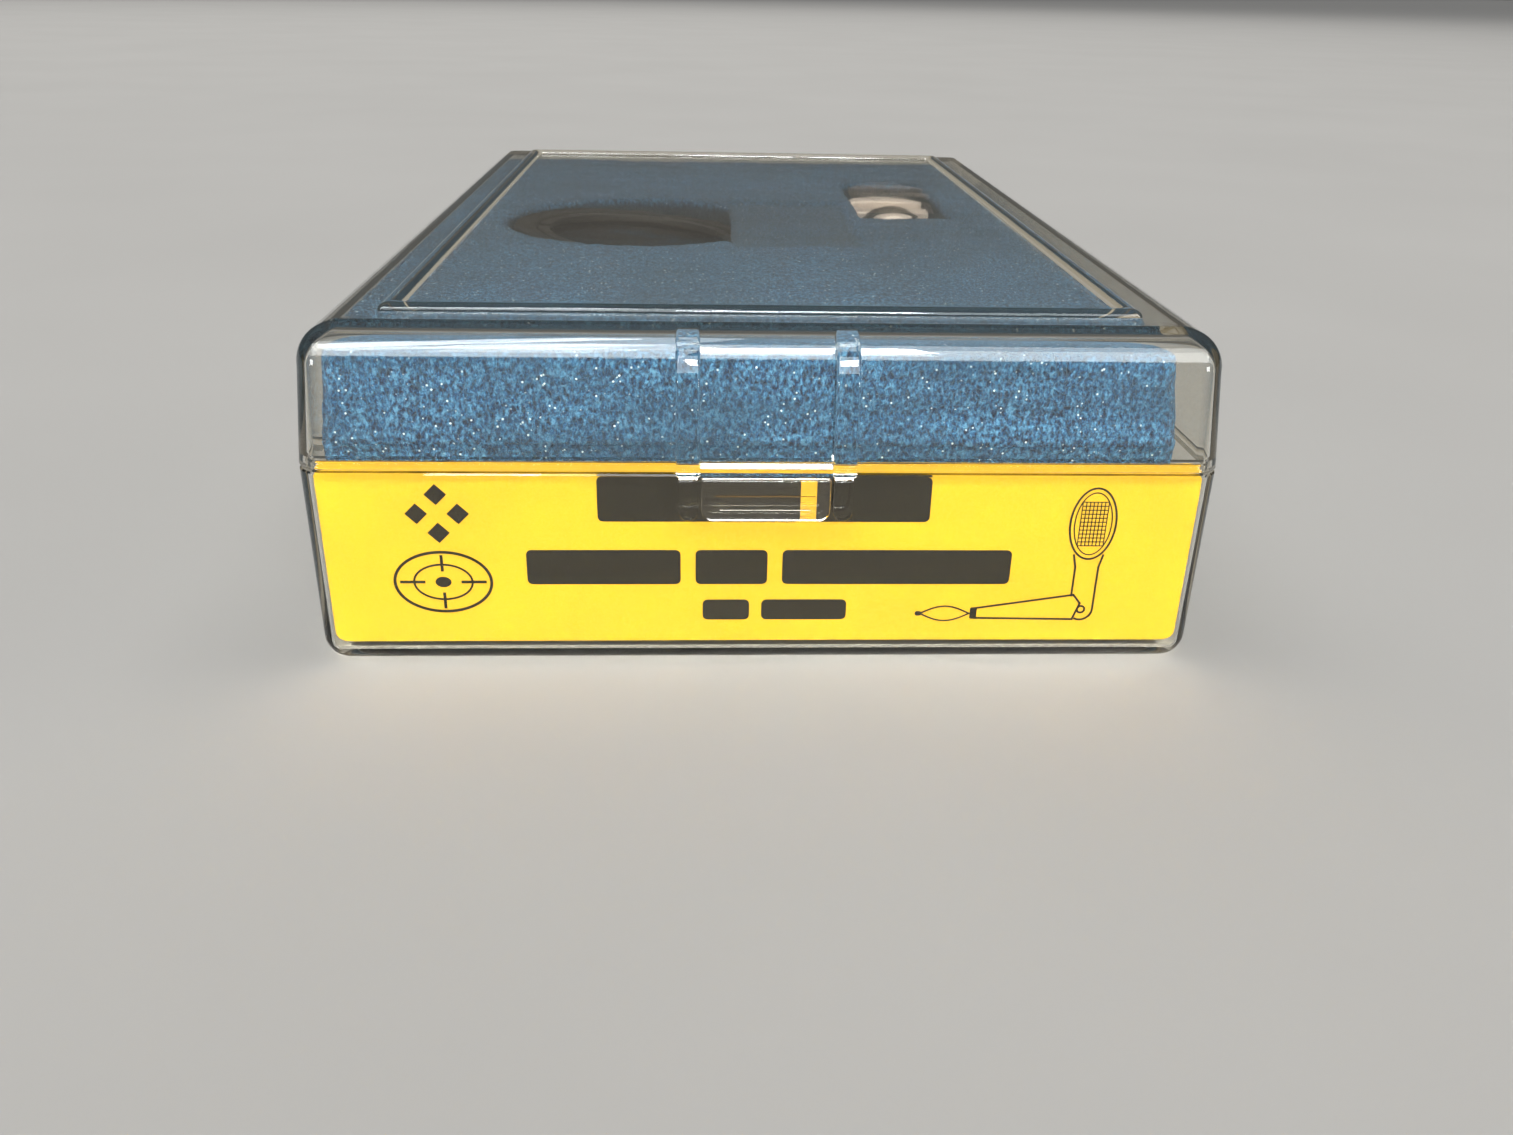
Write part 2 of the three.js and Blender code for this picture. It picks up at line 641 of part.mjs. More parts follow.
// A disc or ring that fits the head's bore
function boreDisc(name, finish, low, high, innerR = 0) {
  const outerR = HEAD_BORE_R - GAP;
  const disc = rodZ(outerR, low, high);
  const solid = innerR > 0 ? disc.subtract(rodZ(innerR, low - 1, high + 1)) : disc;
  return part(name, finish, solid);
}

function plateGroup() {
  const group = new THREE.Group();
  group.position.set(HEAD_X, FRONT_Y + HEAD_BACK, HEAD_MID_Z);
  group.rotation.y = HEAD_TILT;
  const ringInnerR = HEAD_BORE_R - 2;
  group.add(
    sightPlate(),
    boreDisc('upper_retaining_ring', 'black', 1.4, 2.3, ringInnerR),
    boreDisc('window_glass', 'smoked', 0.3, 1.1),
    boreDisc('grid_screen', 'black', -0.4, 0),
    boreDisc('rear_diffuser', 'diffuser', -1.3, -0.7),
    boreDisc('lower_retaining_ring', 'black', -2.4, -1.6, ringInnerR),
  );
  return group;
}

// ---- Arbor, in a frame at the taper's thick end with its tip along -Y ---------------------------------------

function arborBody() {
  return part('arbor_body', 'alloy', turned([
    [ROD_BORE_R, 0],
    [ARBOR_R - 0.4, 0],
    [ARBOR_R, -0.4],
    [ARBOR_TIP_R + 0.3, -TAPER_LENGTH + 2],
    [ARBOR_TIP_R, -TAPER_LENGTH],
    [ROD_BORE_R, -TAPER_LENGTH],
  ]));
}

function neckRing() {
  return part('neck_ring', 'black', turned([
    [SPIGOT_R + GAP, RING_START],
    [RING_R - 0.5, RING_START],
    [RING_R, RING_START + 0.5],
    [RING_R, RING_END - 0.5],
    [RING_R - 0.5, RING_END],
    [SPIGOT_R + GAP, RING_END],
  ]));
}

// The block that clamps the plate's stem, with a spigot through the neck ring
function arborBoss() {
  const [half, radius] = [BOSS_HALF_WIDTH, BOSS_CORNER_R];
  const shape = new THREE.Shape();
  shape.moveTo(-half, BOSS_START);
  shape.lineTo(half, BOSS_START);
  shape.lineTo(half, BOSS_END - radius);
  shape.absarc(half - radius, BOSS_END - radius, radius, 0, Math.PI / 2);
  shape.absarc(-half + radius, BOSS_END - radius, radius, Math.PI / 2, Math.PI);
  const block = prismZ(shape, -BOSS_HALF_HEIGHT, BOSS_HALF_HEIGHT, 2 * ARC_STEPS);
  const spigot = rodY(SPIGOT_R, RING_START, BOSS_START + 1);
  const slot = box([-half - 1, SLOT_START, SLOT_FLOOR], [half + 1, SLOT_END, BOSS_HALF_HEIGHT + 1]);
  const bore = rodY(SCREW_BORE_R, SLOT_END - 1, BOSS_END + 1);
  return part('arbor_boss', 'alloy', block.add(spigot).subtract(slot).subtract(bore));
}

// A thumb screw with a fluted head
function clampScrew() {
  const headEnd = SCREW_HEAD_START + SCREW_HEAD_LENGTH;
  let head = rodY(SCREW_HEAD_R, SCREW_HEAD_START, headEnd, 0, 0, 2 * SCREW_FLUTES);
  for (let k = 0; k < SCREW_FLUTES; k += 1) {
    const angle = 2 * Math.PI * (k + 0.5) / SCREW_FLUTES;
    const reach = SCREW_HEAD_R + 0.3;
    const flute = rodY(
      0.7, SCREW_HEAD_START - 1, headEnd + 1, reach * Math.cos(angle), reach * Math.sin(angle), 8,
    );
    head = head.subtract(flute);
  }
  const shank = rodY(SCREW_R, SLOT_END + 0.6, SCREW_HEAD_START + 1, 0, 0, 16);
  return part('clamp_screw', 'steel', head.add(shank));
}

// The rod that ties the ferrule to the body, through the taper's bore
function coreRod() {
  const tip = -TAPER_LENGTH - LEAF_LENGTH - FERRULE_SOCKET + 0.2;
  return part('core_rod', 'steel', rodY(ROD_R, tip, -3, 0, 0, 16));
}

// One of the two bowed springs that make the leaf-shaped tip
function leafSpring(name, side) {
  const start = -TAPER_LENGTH - GAP;
  const end = start - LEAF_LENGTH + GAP;
  const middle = (start + end) / 2;
  const bow = side * (2 * LEAF_HALF_WIDTH - LEAF_ROOT);
  const thick = side * LEAF_THICK;
  const root = side * LEAF_ROOT;
  const shape = new THREE.Shape();
  shape.moveTo(root, start);
  shape.quadraticCurveTo(bow, middle, root, end);
  shape.lineTo(root + thick, end);
  shape.quadraticCurveTo(bow + thick, middle, root + thick, start);
  return part(name, 'spring', prismZ(shape, -LEAF_HEIGHT / 2, LEAF_HEIGHT / 2, 10));
}

function tipFerrule() {
  const start = -TAPER_LENGTH - LEAF_LENGTH - GAP;
  const end = start - FERRULE_LENGTH;
  return part('tip_ferrule', 'black', turned([
    [0, start - FERRULE_SOCKET],
    [ROD_BORE_R, start - FERRULE_SOCKET],
    [ROD_BORE_R, start],
    [FERRULE_R, start],
    [FERRULE_R, end + 2],
    [FERRULE_R * 0.6, end + 0.4],
    [0, end],
  ], 24));
}

function arborGroup() {
  const group = new THREE.Group();
  group.position.set(ARBOR_X, FRONT_Y + ARBOR_BACK, ARBOR_Z);
  group.rotation.x = ARBOR_TILT;
  group.add(
    arborBody(),
    neckRing(),
    arborBoss(),
    clampScrew(),
    coreRod(),
    leafSpring('leaf_spring_left', -1),
    leafSpring('leaf_spring_right', 1),
    tipFerrule(),
  );
  return group;
}

// ---- The whole object ---------------------------------------------------------------------------------------

const model = new THREE.Group();
model.add(
  caseBase(),
  caseLid(),
  latchTongue(),
  hingePin('hinge_pin_left', -1),
  hingePin('hinge_pin_right', 1),
  labelCard(),
  ...foamLayers(),
  plateGroup(),
  arborGroup(),
);

export default model;
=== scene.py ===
# A clear hinged snap case with a blue foam tray and a muzzle sighting tool, built round its CAD frame.
#
# Lengths in this script are millimetres in the CAD frame: +X across the case, +Y from the latch to the
# hinges, +Z up. mesh_object() turns them into metres. "Back" is the distance from the case's front face.
import json
import math

import bmesh
import bpy
import numpy as np
from mathutils import Matrix, Vector, noise


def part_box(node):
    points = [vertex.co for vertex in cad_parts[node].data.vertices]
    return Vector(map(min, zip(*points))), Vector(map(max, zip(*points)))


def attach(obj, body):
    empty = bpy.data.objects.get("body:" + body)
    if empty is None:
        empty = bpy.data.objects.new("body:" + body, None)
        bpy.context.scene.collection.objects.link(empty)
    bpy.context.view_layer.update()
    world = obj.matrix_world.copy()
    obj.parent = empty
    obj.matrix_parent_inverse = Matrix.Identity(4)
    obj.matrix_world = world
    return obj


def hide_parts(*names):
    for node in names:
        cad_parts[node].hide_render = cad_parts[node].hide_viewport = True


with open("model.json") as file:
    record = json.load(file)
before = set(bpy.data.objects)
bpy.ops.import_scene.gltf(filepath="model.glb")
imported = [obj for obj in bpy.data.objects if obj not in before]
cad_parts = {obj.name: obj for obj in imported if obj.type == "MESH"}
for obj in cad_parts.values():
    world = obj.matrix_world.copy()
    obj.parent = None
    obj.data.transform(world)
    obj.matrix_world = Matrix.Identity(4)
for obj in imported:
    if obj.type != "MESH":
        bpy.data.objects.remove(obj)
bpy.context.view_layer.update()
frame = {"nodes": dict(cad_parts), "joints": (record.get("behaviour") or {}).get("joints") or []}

MM = 0.001


def box_mm(node):
    low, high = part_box(node)
    return low / MM, high / MM


def joint_of(name):
    return next(joint for joint in frame["joints"] if joint["name"] == name)


# ---- Driving dimensions, read off the frame --------------

WALL = 1.5
CORNER_R = 3.3
INNER_CORNER_R = 0.8
TOP_CORNER_R = 0.6
BOTTOM_EDGE_R = 2.8
FLOOR_EDGE_R = 0.9
LID_EDGE_R = 4.5
LID_DRAFT = math.tan(math.radians(5))
GAP = 0.3
EASE = 0.18

TONGUE_FRONT = 1.65
TONGUE_BACK = 0.75
HINGE_BACK = 2.4
BEAD_HEIGHT = 0.8
BEAD_INSET = 8.65
BEAD_WIDTH = 2.3
LIP_INSET = 0.85
LIP_HEIGHT = 1.0
REBATE_INSET = LIP_INSET - GAP
REBATE_HEIGHT = 1.25

base_low, base_high = box_mm("case_base")
tongue_low, tongue_high = box_mm("latch_tongue")
card_low, card_high = box_mm("label_card")
hinge = Vector(joint_of("lid_hinge")["pos_m"]) / MM

HALF_WIDTH = (base_high.x - base_low.x) / 2
FRONT = tongue_low.y + TONGUE_FRONT
REAR = hinge.y - HINGE_BACK
MIDDLE = (FRONT + REAR) / 2
HALF_DEPTH = (REAR - FRONT) / 2
PARTING = tongue_high.z
LID_BOTTOM = 2 * hinge.z - PARTING
BEAD_TOP = box_mm("case_lid")[1].z
LID_FLAT = BEAD_TOP - BEAD_HEIGHT

CORNER_STEPS = 14
FILLET_STEPS = 10
SIDES = 96


# ---- Mesh tools ------------------------------------------

def mesh_object(name, points, faces):
    mesh = bpy.data.meshes.new(name)
    mesh.from_pydata([tuple(Vector(point) * MM) for point in points], [], faces)
    mesh.validate()
    made = bpy.data.objects.new(name, mesh)
    bpy.context.scene.collection.objects.link(made)
    face_outward(made)
    return made


def face_outward(made):
    work = bmesh.new()
    work.from_mesh(made.data)
    bmesh.ops.remove_doubles(work, verts=work.verts, dist=1e-8)
    bmesh.ops.recalc_face_normals(work, faces=work.faces)
    work.to_mesh(made.data)
    work.free()


def bake_modifiers(made):
    """Replaces the object's mesh by what its modifiers make of it."""
    bpy.context.view_layer.update()
    graph = bpy.context.evaluated_depsgraph_get()
    mesh = bpy.data.meshes.new_from_object(made.evaluated_get(graph), depsgraph=graph)
    made.modifiers.clear()
    made.data = mesh
    return made


def bevelled(made, width, segments=3, angle=35):
    bevel = made.modifiers.new("bevel", "BEVEL")
    bevel.width = width * MM
    bevel.segments = segments
    bevel.limit_method = "ANGLE"
    bevel.angle_limit = math.radians(angle)
    bevel.harden_normals = False
    return bake_modifiers(made)


def combined(made, others, operation):
    for other in others:
        step = made.modifiers.new("combine", "BOOLEAN")
        step.operation = operation
        step.solver = "MANIFOLD"
        step.object = other
        bake_modifiers(made)
        bpy.data.objects.remove(other)
    return made


def joined(made, *others):
    """Adds the other solids to made."""
    return combined(made, others, "UNION")


def cut(made, *others):
    """Cuts the other solids out of made."""
    return combined(made, others, "DIFFERENCE")


def smooth_shaded(made, angle):
    """Smooth shading that stops at edges sharper than the angle, or everywhere smooth if it is None."""
    made.data.shade_smooth()
    if angle is None:
        return
    made.data.set_sharp_from_angle(angle=math.radians(angle))
    weigh = made.modifiers.new("weighted_normals", "WEIGHTED_NORMAL")
    weigh.keep_sharp = True
    weigh.weight = 90


def rounded_rectangle(half_x, half_y, radius, steps=CORNER_STEPS):
    """Points of a rounded rectangle about the origin, anticlockwise."""
    points = []
    for quarter, (side_x, side_y) in enumerate([(1, 1), (-1, 1), (-1, -1), (1, -1)]):
        for step in range(steps + 1):
            angle = (quarter + step / steps) * math.pi / 2
            points.append((
                side_x * (half_x - radius) + radius * math.cos(angle),
                side_y * (half_y - radius) + radius * math.sin(angle),
            ))
    return points


def band(first, second, count):
    """Faces between two closed loops, whose points are numbered from first and from second."""
    steps = [(k, (k + 1) % count) for k in range(count)]
    return [(first + k, first + after, second + after, second + k) for k, after in steps]


def loft(name, rings):
    """A closed solid through rings of equal length, with its first and last ring capped."""
    count = len(rings[0])
    points = [point for ring in rings for point in ring]
    faces = [list(range(count)), list(range(len(points) - count, len(points)))]
    for level in range(len(rings) - 1):
        faces += band(level * count, (level + 1) * count, count)
    return mesh_object(name, points, faces)


def case_loft(name, profile):
    """A loft of the case's outline. The profile lists (inset from its faces, height, corner radius)."""
    rings = []
    for inset, z, radius in profile:
        outline = rounded_rectangle(HALF_WIDTH - inset, HALF_DEPTH - inset, radius)
        rings.append([(x, MIDDLE + y, z) for x, y in outline])
    return loft(name, rings)


def arc(centre_x, centre_y, radius, start, end, steps=FILLET_STEPS):
    """Points on an arc between two angles in degrees."""
    points = []
    for step in range(steps + 1):
        angle = math.radians(start + (end - start) * step / steps)
        points.append((centre_x + radius * math.cos(angle), centre_y + radius * math.sin(angle)))
    return points


def curve_to(start, control, end, steps=FILLET_STEPS):
    """Points of a quadratic curve after its start."""
    points = []
    for step in range(1, steps + 1):
        t = step / steps
        points.append(tuple(
            (1 - t) ** 2 * a + 2 * t * (1 - t) * b + t ** 2 * c for a, b, c in zip(start, control, end)
        ))
    return points


def ellipse_points(centre, half_x, half_y, sides):
    """Points of an ellipse, anticlockwise."""
    angles = [2 * math.pi * k / sides for k in range(sides)]
    return [(centre[0] + half_x * math.cos(a), centre[1] + half_y * math.sin(a)) for a in angles]


def prism(name, outline, low, high, axis):
    """A prism of an outline. Along x the outline is (y, z), along y it is (x, z), along z it is (x, y)."""
    place = {
        "x": lambda a, b, along: (along, a, b),
        "y": lambda a, b, along: (a, along, b),
        "z": lambda a, b, along: (a, b, along),
    }[axis]
    return loft(name, [[place(a, b, along) for a, b in outline] for along in (low, high)])


def turned(name, profile, sides=SIDES):
    """A turned solid about local Y.

    The profile lists (radius, y), and either starts and ends on the axis or is a closed loop off it.
    """
    closed = profile[0][0] > 0
    points = []
    faces = []
    for radius, y in profile:
        points += [(x, y, z) for x, z in ellipse_points((0, 0), radius, radius, sides)]
    rows = len(profile)
    for row in range(rows if closed else rows - 1):
        faces += band(row * sides, (row + 1) % rows * sides, sides)
    return mesh_object(name, points, faces)


def moved(made, matrix):
    made.data.transform(matrix)
    return made


def tube(name, radius, low, high, axis, centre=(0, 0), sides=48):
    return prism(name, ellipse_points(centre, radius, radius, sides), low, high, axis)


def rectangle(x0, y0, x1, y1):
    return [(x0, y0), (x1, y0), (x1, y1), (x0, y1)]


# ---- Material tools --------------------------------------

def set_stops(ramp, stops):
    """Gives a colour ramp its stops, each a place and a colour."""
    marks = ramp.color_ramp.elements
    while len(marks) < len(stops):
        marks.new(0.5)
    for element, (where, colour) in zip(marks, stops):
        element.position = where
        element.color = (*colour, 1)


class Shader:
    """A node material with short calls for its nodes. Its coordinates are the object's own, in metres."""

    def __init__(self, name):
        self.material = bpy.data.materials.new(name)
        self.material.use_nodes = True
        self.tree = self.material.node_tree
        self.tree.nodes.clear()
        self.output = self.node("ShaderNodeOutputMaterial")
        self.principled = self.node("ShaderNodeBsdfPrincipled")
        self.link(self.principled.outputs[0], self.output.inputs["Surface"])
        self.place = self.node("ShaderNodeTexCoord").outputs["Object"]

    def node(self, kind, **settings):
        made = self.tree.nodes.new(kind)
        for key, value in settings.items():
            setattr(made, key, value)
        return made

    def link(self, source, target):
        self.tree.links.new(source, target)

    def set(self, **values):
        for key, value in values.items():
            self.principled.inputs[key.replace("_", " ")].default_value = value

    def stretched(self, x, y, z):
        made = self.node("ShaderNodeMapping")
        made.inputs["Scale"].default_value = (x, y, z)
        self.link(self.place, made.inputs["Vector"])
        return made.outputs["Vector"]

    def axes(self):
        split = self.node("ShaderNodeSeparateXYZ")
        self.link(self.place, split.inputs[0])
        return split.outputs[:]

    def noise(self, size, detail=3, rough=0.55, where=None):
        """Cloudy noise whose blotches are about size millimetres across."""
        made = self.node("ShaderNodeTexNoise")
        made.inputs["Scale"].default_value = 1 / (size * MM)
        made.inputs["Detail"].default_value = detail
        made.inputs["Roughness"].default_value = rough
        self.link(where or self.place, made.inputs["Vector"])
        return made.outputs["Fac"]

    def cells(self, size, feature="F1", where=None):
        """Distance in a cell pattern whose cells are about size millimetres across."""
        made = self.node("ShaderNodeTexVoronoi", feature=feature)
        made.inputs["Scale"].default_value = 1 / (size * MM)
        self.link(where or self.place, made.inputs["Vector"])
        return made.outputs["Distance"]

    def ranged(self, value, low, high, to_low=0.0, to_high=1.0):
        made = self.node("ShaderNodeMapRange")
        ends = {"From Min": low, "From Max": high, "To Min": to_low, "To Max": to_high}
        for socket, number in ends.items():
            made.inputs[socket].default_value = number
        self.link(value, made.inputs["Value"])
        return made.outputs["Result"]

    def ramp(self, value, *stops):
        made = self.node("ShaderNodeValToRGB")
        set_stops(made, stops)
        self.link(value, made.inputs["Fac"])
        return made.outputs["Color"]

    def feed(self, socket, value):
        """Feeds a socket from another socket, a number or a colour."""
        if isinstance(value, bpy.types.NodeSocket):
            self.link(value, socket)
        else:
            socket.default_value = (*value, 1) if isinstance(value, tuple) else value

    def mixed(self, factor, first, second):
        made = self.node("ShaderNodeMix", data_type="RGBA")
        for place, value in ((0, factor), (6, first), (7, second)):
            self.feed(made.inputs[place], value)
        return made.outputs[2]

    def maths(self, operation, first, second):
        made = self.node("ShaderNodeMath", operation=operation)
        for socket, value in zip(made.inputs, (first, second)):
            self.feed(socket, value)
        return made.outputs[0]

    def shader_mix(self, factor, first, second):
        made = self.node("ShaderNodeMixShader")
        for socket, source in zip(made.inputs, (factor, first, second)):
            self.link(source, socket)
        return made.outputs[0]

    def bump(self, height, depth, strength=1.0):
        """Bump of a height from 0 to 1 that stands for depth millimetres."""
        made = self.node("ShaderNodeBump")
        made.inputs["Distance"].default_value = depth * MM
        made.inputs["Strength"].default_value = strength
        self.link(height, made.inputs["Height"])
        if self.principled.inputs["Normal"].is_linked:
            self.link(self.principled.inputs["Normal"].links[0].from_socket, made.inputs["Normal"])
        self.link(made.outputs[0], self.principled.inputs["Normal"])

    def colour(self, value):
        self.link(value, self.principled.inputs["Base Color"])

    def roughness(self, value):
        self.link(value, self.principled.inputs["Roughness"])


def see_through(s, shade, trapped_after=None):
    """Lets light through the shader's piece as a plain tint, so that what lies under it is lit.

    Light trapped in the wall after that many inner reflections leaks out, as it does at scratches.
    """
    tint = s.node("ShaderNodeBsdfTransparent")
    tint.inputs["Color"].default_value = (*shade, 1)
    path = s.node("ShaderNodeLightPath")
    surface = s.principled.outputs[0]
    if trapped_after is not None:
        trapped = s.maths("GREATER_THAN", path.outputs["Glossy Depth"], trapped_after - 0.5)
        surface = s.shader_mix(trapped, surface, tint.outputs[0])
    surface = s.shader_mix(path.outputs["Is Shadow Ray"], surface, tint.outputs[0])
    s.link(surface, s.output.inputs["Surface"])


def clear_plastic():
    """Old clear styrene: faintly yellow, darker where light runs along the wall."""
    s = Shader("clear_plastic")
    s.set(Base_Color=(0.96, 0.94, 0.88, 1), Roughness=0.025, IOR=1.42, Transmission_Weight=1.0)
    ripple = s.noise(9, detail=1)
    s.bump(ripple, 0.05, 0.35)
    see_through(s, (0.93, 0.91, 0.86), trapped_after=2)
    body = s.node("ShaderNodeVolumeAbsorption")
    body.inputs["Color"].default_value = (0.80, 0.72, 0.52, 1)
    body.inputs["Density"].default_value = 14
    s.link(body.outputs[0], s.output.inputs["Volume"])
    return s.material


# Painted shade in the foam's wells: how far in from the outer faces it reaches, how far under the top it
# starts and is full, and how dark it gets.
WELL_EDGE_X = 6
WELL_EDGE_Y = 5
SHADE_STARTS = 0.45
SHADE_FULL = 1.5
DEEPEST_SHADE = 0.92


def painted_well_shade(s):
    """Painted shade mask: 1 on the walls and floors of the wells in the foam, which lie deep in shade, and
    0 elsewhere.
    """
    top = box_mm("foam_top_layer")[1].z
    x, y, z = s.axes()
    across = s.maths("LESS_THAN", s.maths("ABSOLUTE", x, 0), (HALF_WIDTH - WELL_EDGE_X) * MM)
    along = s.maths("ABSOLUTE", s.maths("SUBTRACT", y, MIDDLE * MM), 0)
    along = s.maths("LESS_THAN", along, (HALF_DEPTH - WELL_EDGE_Y) * MM)
    down = s.ranged(z, (top - SHADE_FULL) * MM, (top - SHADE_STARTS) * MM, DEEPEST_SHADE, 0.0)
    return s.maths("MULTIPLY", s.maths("MULTIPLY", across, along), down)


def blue_foam():
    """Open-cell foam: deep pores, paler struts and painted glints, pale specks in its colour where a strut
    would catch the light.
    """
    s = Shader("blue_foam")
    grain = s.stretched(1, 1, 0.7)
    pores = s.noise(0.46, detail=5, rough=0.72, where=grain)
    struts = s.cells(0.62, "DISTANCE_TO_EDGE", where=grain)
    bands = s.noise(9, detail=3, where=s.stretched(0.35, 0.35, 1.4))
    tone = s.ramp(
        pores,
        (0.40, (0.002, 0.008, 0.028)),
        (0.48, (0.009, 0.056, 0.150)),
        (0.54, (0.028, 0.138, 0.290)),
        (0.62, (0.105, 0.300, 0.500)),
    )
    edge = s.ranged(struts, 0.0, 0.14, 1.0, 0.0)
    tone = s.mixed(s.maths("MULTIPLY", edge, 0.3), tone, (0.075, 0.225, 0.36))
    tone = s.mixed(s.ranged(bands, 0.4, 0.66, 0.0, 0.55), tone, (0.010, 0.052, 0.105))
    # Painted highlight: scattered pale specks mixed into the foam's colour, where it is also less rough.
    glints = s.ranged(s.cells(0.8), 0.1, 0.2, 1.0, 0.0)
    some = s.ranged(s.noise(1.1, detail=1), 0.52, 0.58)
    painted_glint = s.maths("MULTIPLY", glints, some)
    tone = s.mixed(painted_glint, tone, (0.75, 0.88, 0.95))
    # Painted shade: the foam's colour turns near black on the walls and floors of its wells.
    s.colour(s.mixed(painted_well_shade(s), tone, (0.008, 0.022, 0.034)))
    s.roughness(s.ranged(painted_glint, 0.0, 1.0, 0.92, 0.35))
    s.set(Sheen_Weight=0.12, Sheen_Roughness=0.5, Specular_IOR_Level=0.2)
    s.bump(pores, 0.5, 1.0)
    s.bump(edge, 0.2, 0.8)
    return s.material


def printed_card():
    """Coated card in a strong yellow, with paper fibre and faint handling marks."""
    s = Shader("printed_card")
    fibre = s.noise(0.25, detail=4, rough=0.7)
    cloud = s.noise(16, detail=3)
    tone = s.mixed(s.ranged(cloud, 0.3, 0.75), (0.72, 0.42, 0.002), (0.66, 0.36, 0.002))
    tone = s.mixed(s.ranged(fibre, 0.35, 0.75, 0.0, 0.12), tone, (0.98, 0.86, 0.25))
    s.colour(tone)
    s.roughness(s.ranged(cloud, 0.2, 0.8, 0.42, 0.6))
    s.set(Specular_IOR_Level=0.15)
    s.bump(fibre, 0.02, 0.4)
    return s.material


def ink():
    """Black ink, a little broken at its edges by the card's fibre."""
    s = Shader("ink")
    fibre = s.noise(0.2, detail=3, rough=0.7)
    s.colour(s.mixed(s.ranged(fibre, 0.62, 0.8), (0.010, 0.008, 0.004), (0.12, 0.09, 0.01)))
    s.roughness(s.ranged(fibre, 0.2, 0.8, 0.45, 0.6))
    s.set(Specular_IOR_Level=0.15)
    s.bump(fibre, 0.01, 0.3)
    return s.material


def metal(name, colour, roughness, grain, brushed=(1, 1, 1), metallic=1.0):
    """Bare metal with fine tool marks that run along the axis with the smallest stretch."""
    s = Shader(name)
    marks = s.noise(grain, detail=4, rough=0.65, where=s.stretched(*brushed))
    stain = s.noise(7, detail=3)
    dark = tuple(channel * 0.72 for channel in colour)
    s.colour(s.mixed(s.ranged(stain, 0.45, 0.8, 0.0, 0.5), colour, dark))
    s.set(Metallic=metallic)
    s.roughness(s.ranged(marks, 0.25, 0.75, roughness * 0.8, roughness * 1.35))
    s.bump(marks, 0.012, 0.5)
    return s.material


def black_plastic():
    """Satin black moulded plastic with a fine texture and paler rubbed spots."""
    s = Shader("black_plastic")
    texture = s.noise(0.22, detail=3, rough=0.6)
    rub = s.noise(6, detail=4, rough=0.6)
    s.colour(s.mixed(s.ranged(rub, 0.5, 0.8, 0.0, 0.5), (0.012, 0.011, 0.009), (0.035, 0.029, 0.022)))
    s.roughness(s.ranged(rub, 0.3, 0.8, 0.42, 0.6))
    s.set(Specular_IOR_Level=0.3)
    s.bump(texture, 0.02, 0.5)
    return s.material


def smoked_window():
    """Dark tinted clear plastic with a faint moulding ripple."""
    s = Shader("smoked_window")
    s.set(Base_Color=(0.16, 0.125, 0.085, 1), Roughness=0.05, IOR=1.5, Transmission_Weight=1.0)
    s.bump(s.noise(4, detail=1), 0.02, 0.3)
    see_through(s, (0.4, 0.36, 0.3))
    return s.material


def frosted_white():
    s = Shader("frosted_white")
    frost = s.noise(0.4, detail=3)
    s.colour(s.mixed(s.ranged(frost, 0.3, 0.8), (0.78, 0.77, 0.72), (0.66, 0.65, 0.60)))
    s.roughness(s.ranged(frost, 0.3, 0.8, 0.45, 0.6))
    s.bump(frost, 0.02, 0.4)
    return s.material


CLEAR = clear_plastic()
FOAM = blue_foam()
CARD = printed_card()
INK = ink()
STEEL = metal("steel", (0.74, 0.70, 0.67), 0.36, 0.5, (6, 0.6, 6))
ALLOY = metal("alloy", (0.86, 0.76, 0.70), 0.48, 0.5, (1, 9, 1), metallic=0.7)
SPRING = metal("spring_steel", (0.55, 0.55, 0.55), 0.24, 0.5, (5, 0.5, 5))
BLACK = black_plastic()
SMOKED = smoked_window()
DIFFUSER = frosted_white()


def finished(made, material, slot, body, *nodes, angle=32):
    """Shades a piece, gives it its material, and fixes it to its body in place of its CAD nodes."""
    smooth_shaded(made, angle)
    made.data.materials.clear()
    made.data.materials.append(material)
    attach(made, body)
    if nodes:
        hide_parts(*nodes)
    return made


# ---- Case ------------------------------------------------

RIB_GAP = 14.3
RIB_WIDTH = 2.65
RIB_REACH = 2.0
GUIDE_WIDTH = 2.2
GUIDE_REACH = 1.7
LATCH_LOW = tongue_low.z
CATCH_HALF = 5.5
CATCH_LOW = LATCH_LOW + 1.8
CATCH_HEIGHT = 0.7
HOOK_HALF = 5.0
HOOK_LOW = LATCH_LOW + 0.4
HOOK_HEIGHT = 0.7
CATCH_REACH = 0.25
KNUCKLE_R = 2.0
KNUCKLE_WIDTH = 8.0
LUG_WIDTH = 3.0
LUG_GAP = 0.35
PIN_R = 0.9
PIN_BORE_R = 1.2
HEEL_R = 3.0
HEEL_ANGLE = math.radians(-33)
GUSSET_DEPTH = 6.5
GUSSET_ROOT = 0.8
pin_low, pin_high = box_mm("hinge_pin_right")
HINGE_X = (pin_low.x + pin_high.x) / 2


def outer_corner(inset):
    return max(CORNER_R - inset, TOP_CORNER_R)


def inner_corner(inset):
    return max(INNER_CORNER_R - (inset - WALL), 0.3)


def base_profile():
    rim = PARTING + LIP_HEIGHT
    profile = []
    for x, z in arc(0, BOTTOM_EDGE_R, BOTTOM_EDGE_R, -90, 0):
        profile.append((BOTTOM_EDGE_R - x, z, outer_corner(BOTTOM_EDGE_R - x)))
    for inset, z in [
        (0, PARTING - EASE),
        (EASE, PARTING),
        (LIP_INSET, PARTING),
        (LIP_INSET, rim - EASE),
        (LIP_INSET + EASE, rim),
    ]:
        profile.append((inset, z, outer_corner(inset)))
    profile.append((WALL - EASE, rim, inner_corner(WALL)))
    profile.append((WALL, rim - EASE, inner_corner(WALL)))
    for x, z in arc(0, FLOOR_EDGE_R, FLOOR_EDGE_R, 0, -90):
        inset = WALL + FLOOR_EDGE_R - x
        profile.append((inset, WALL + z, inner_corner(inset)))
    return profile


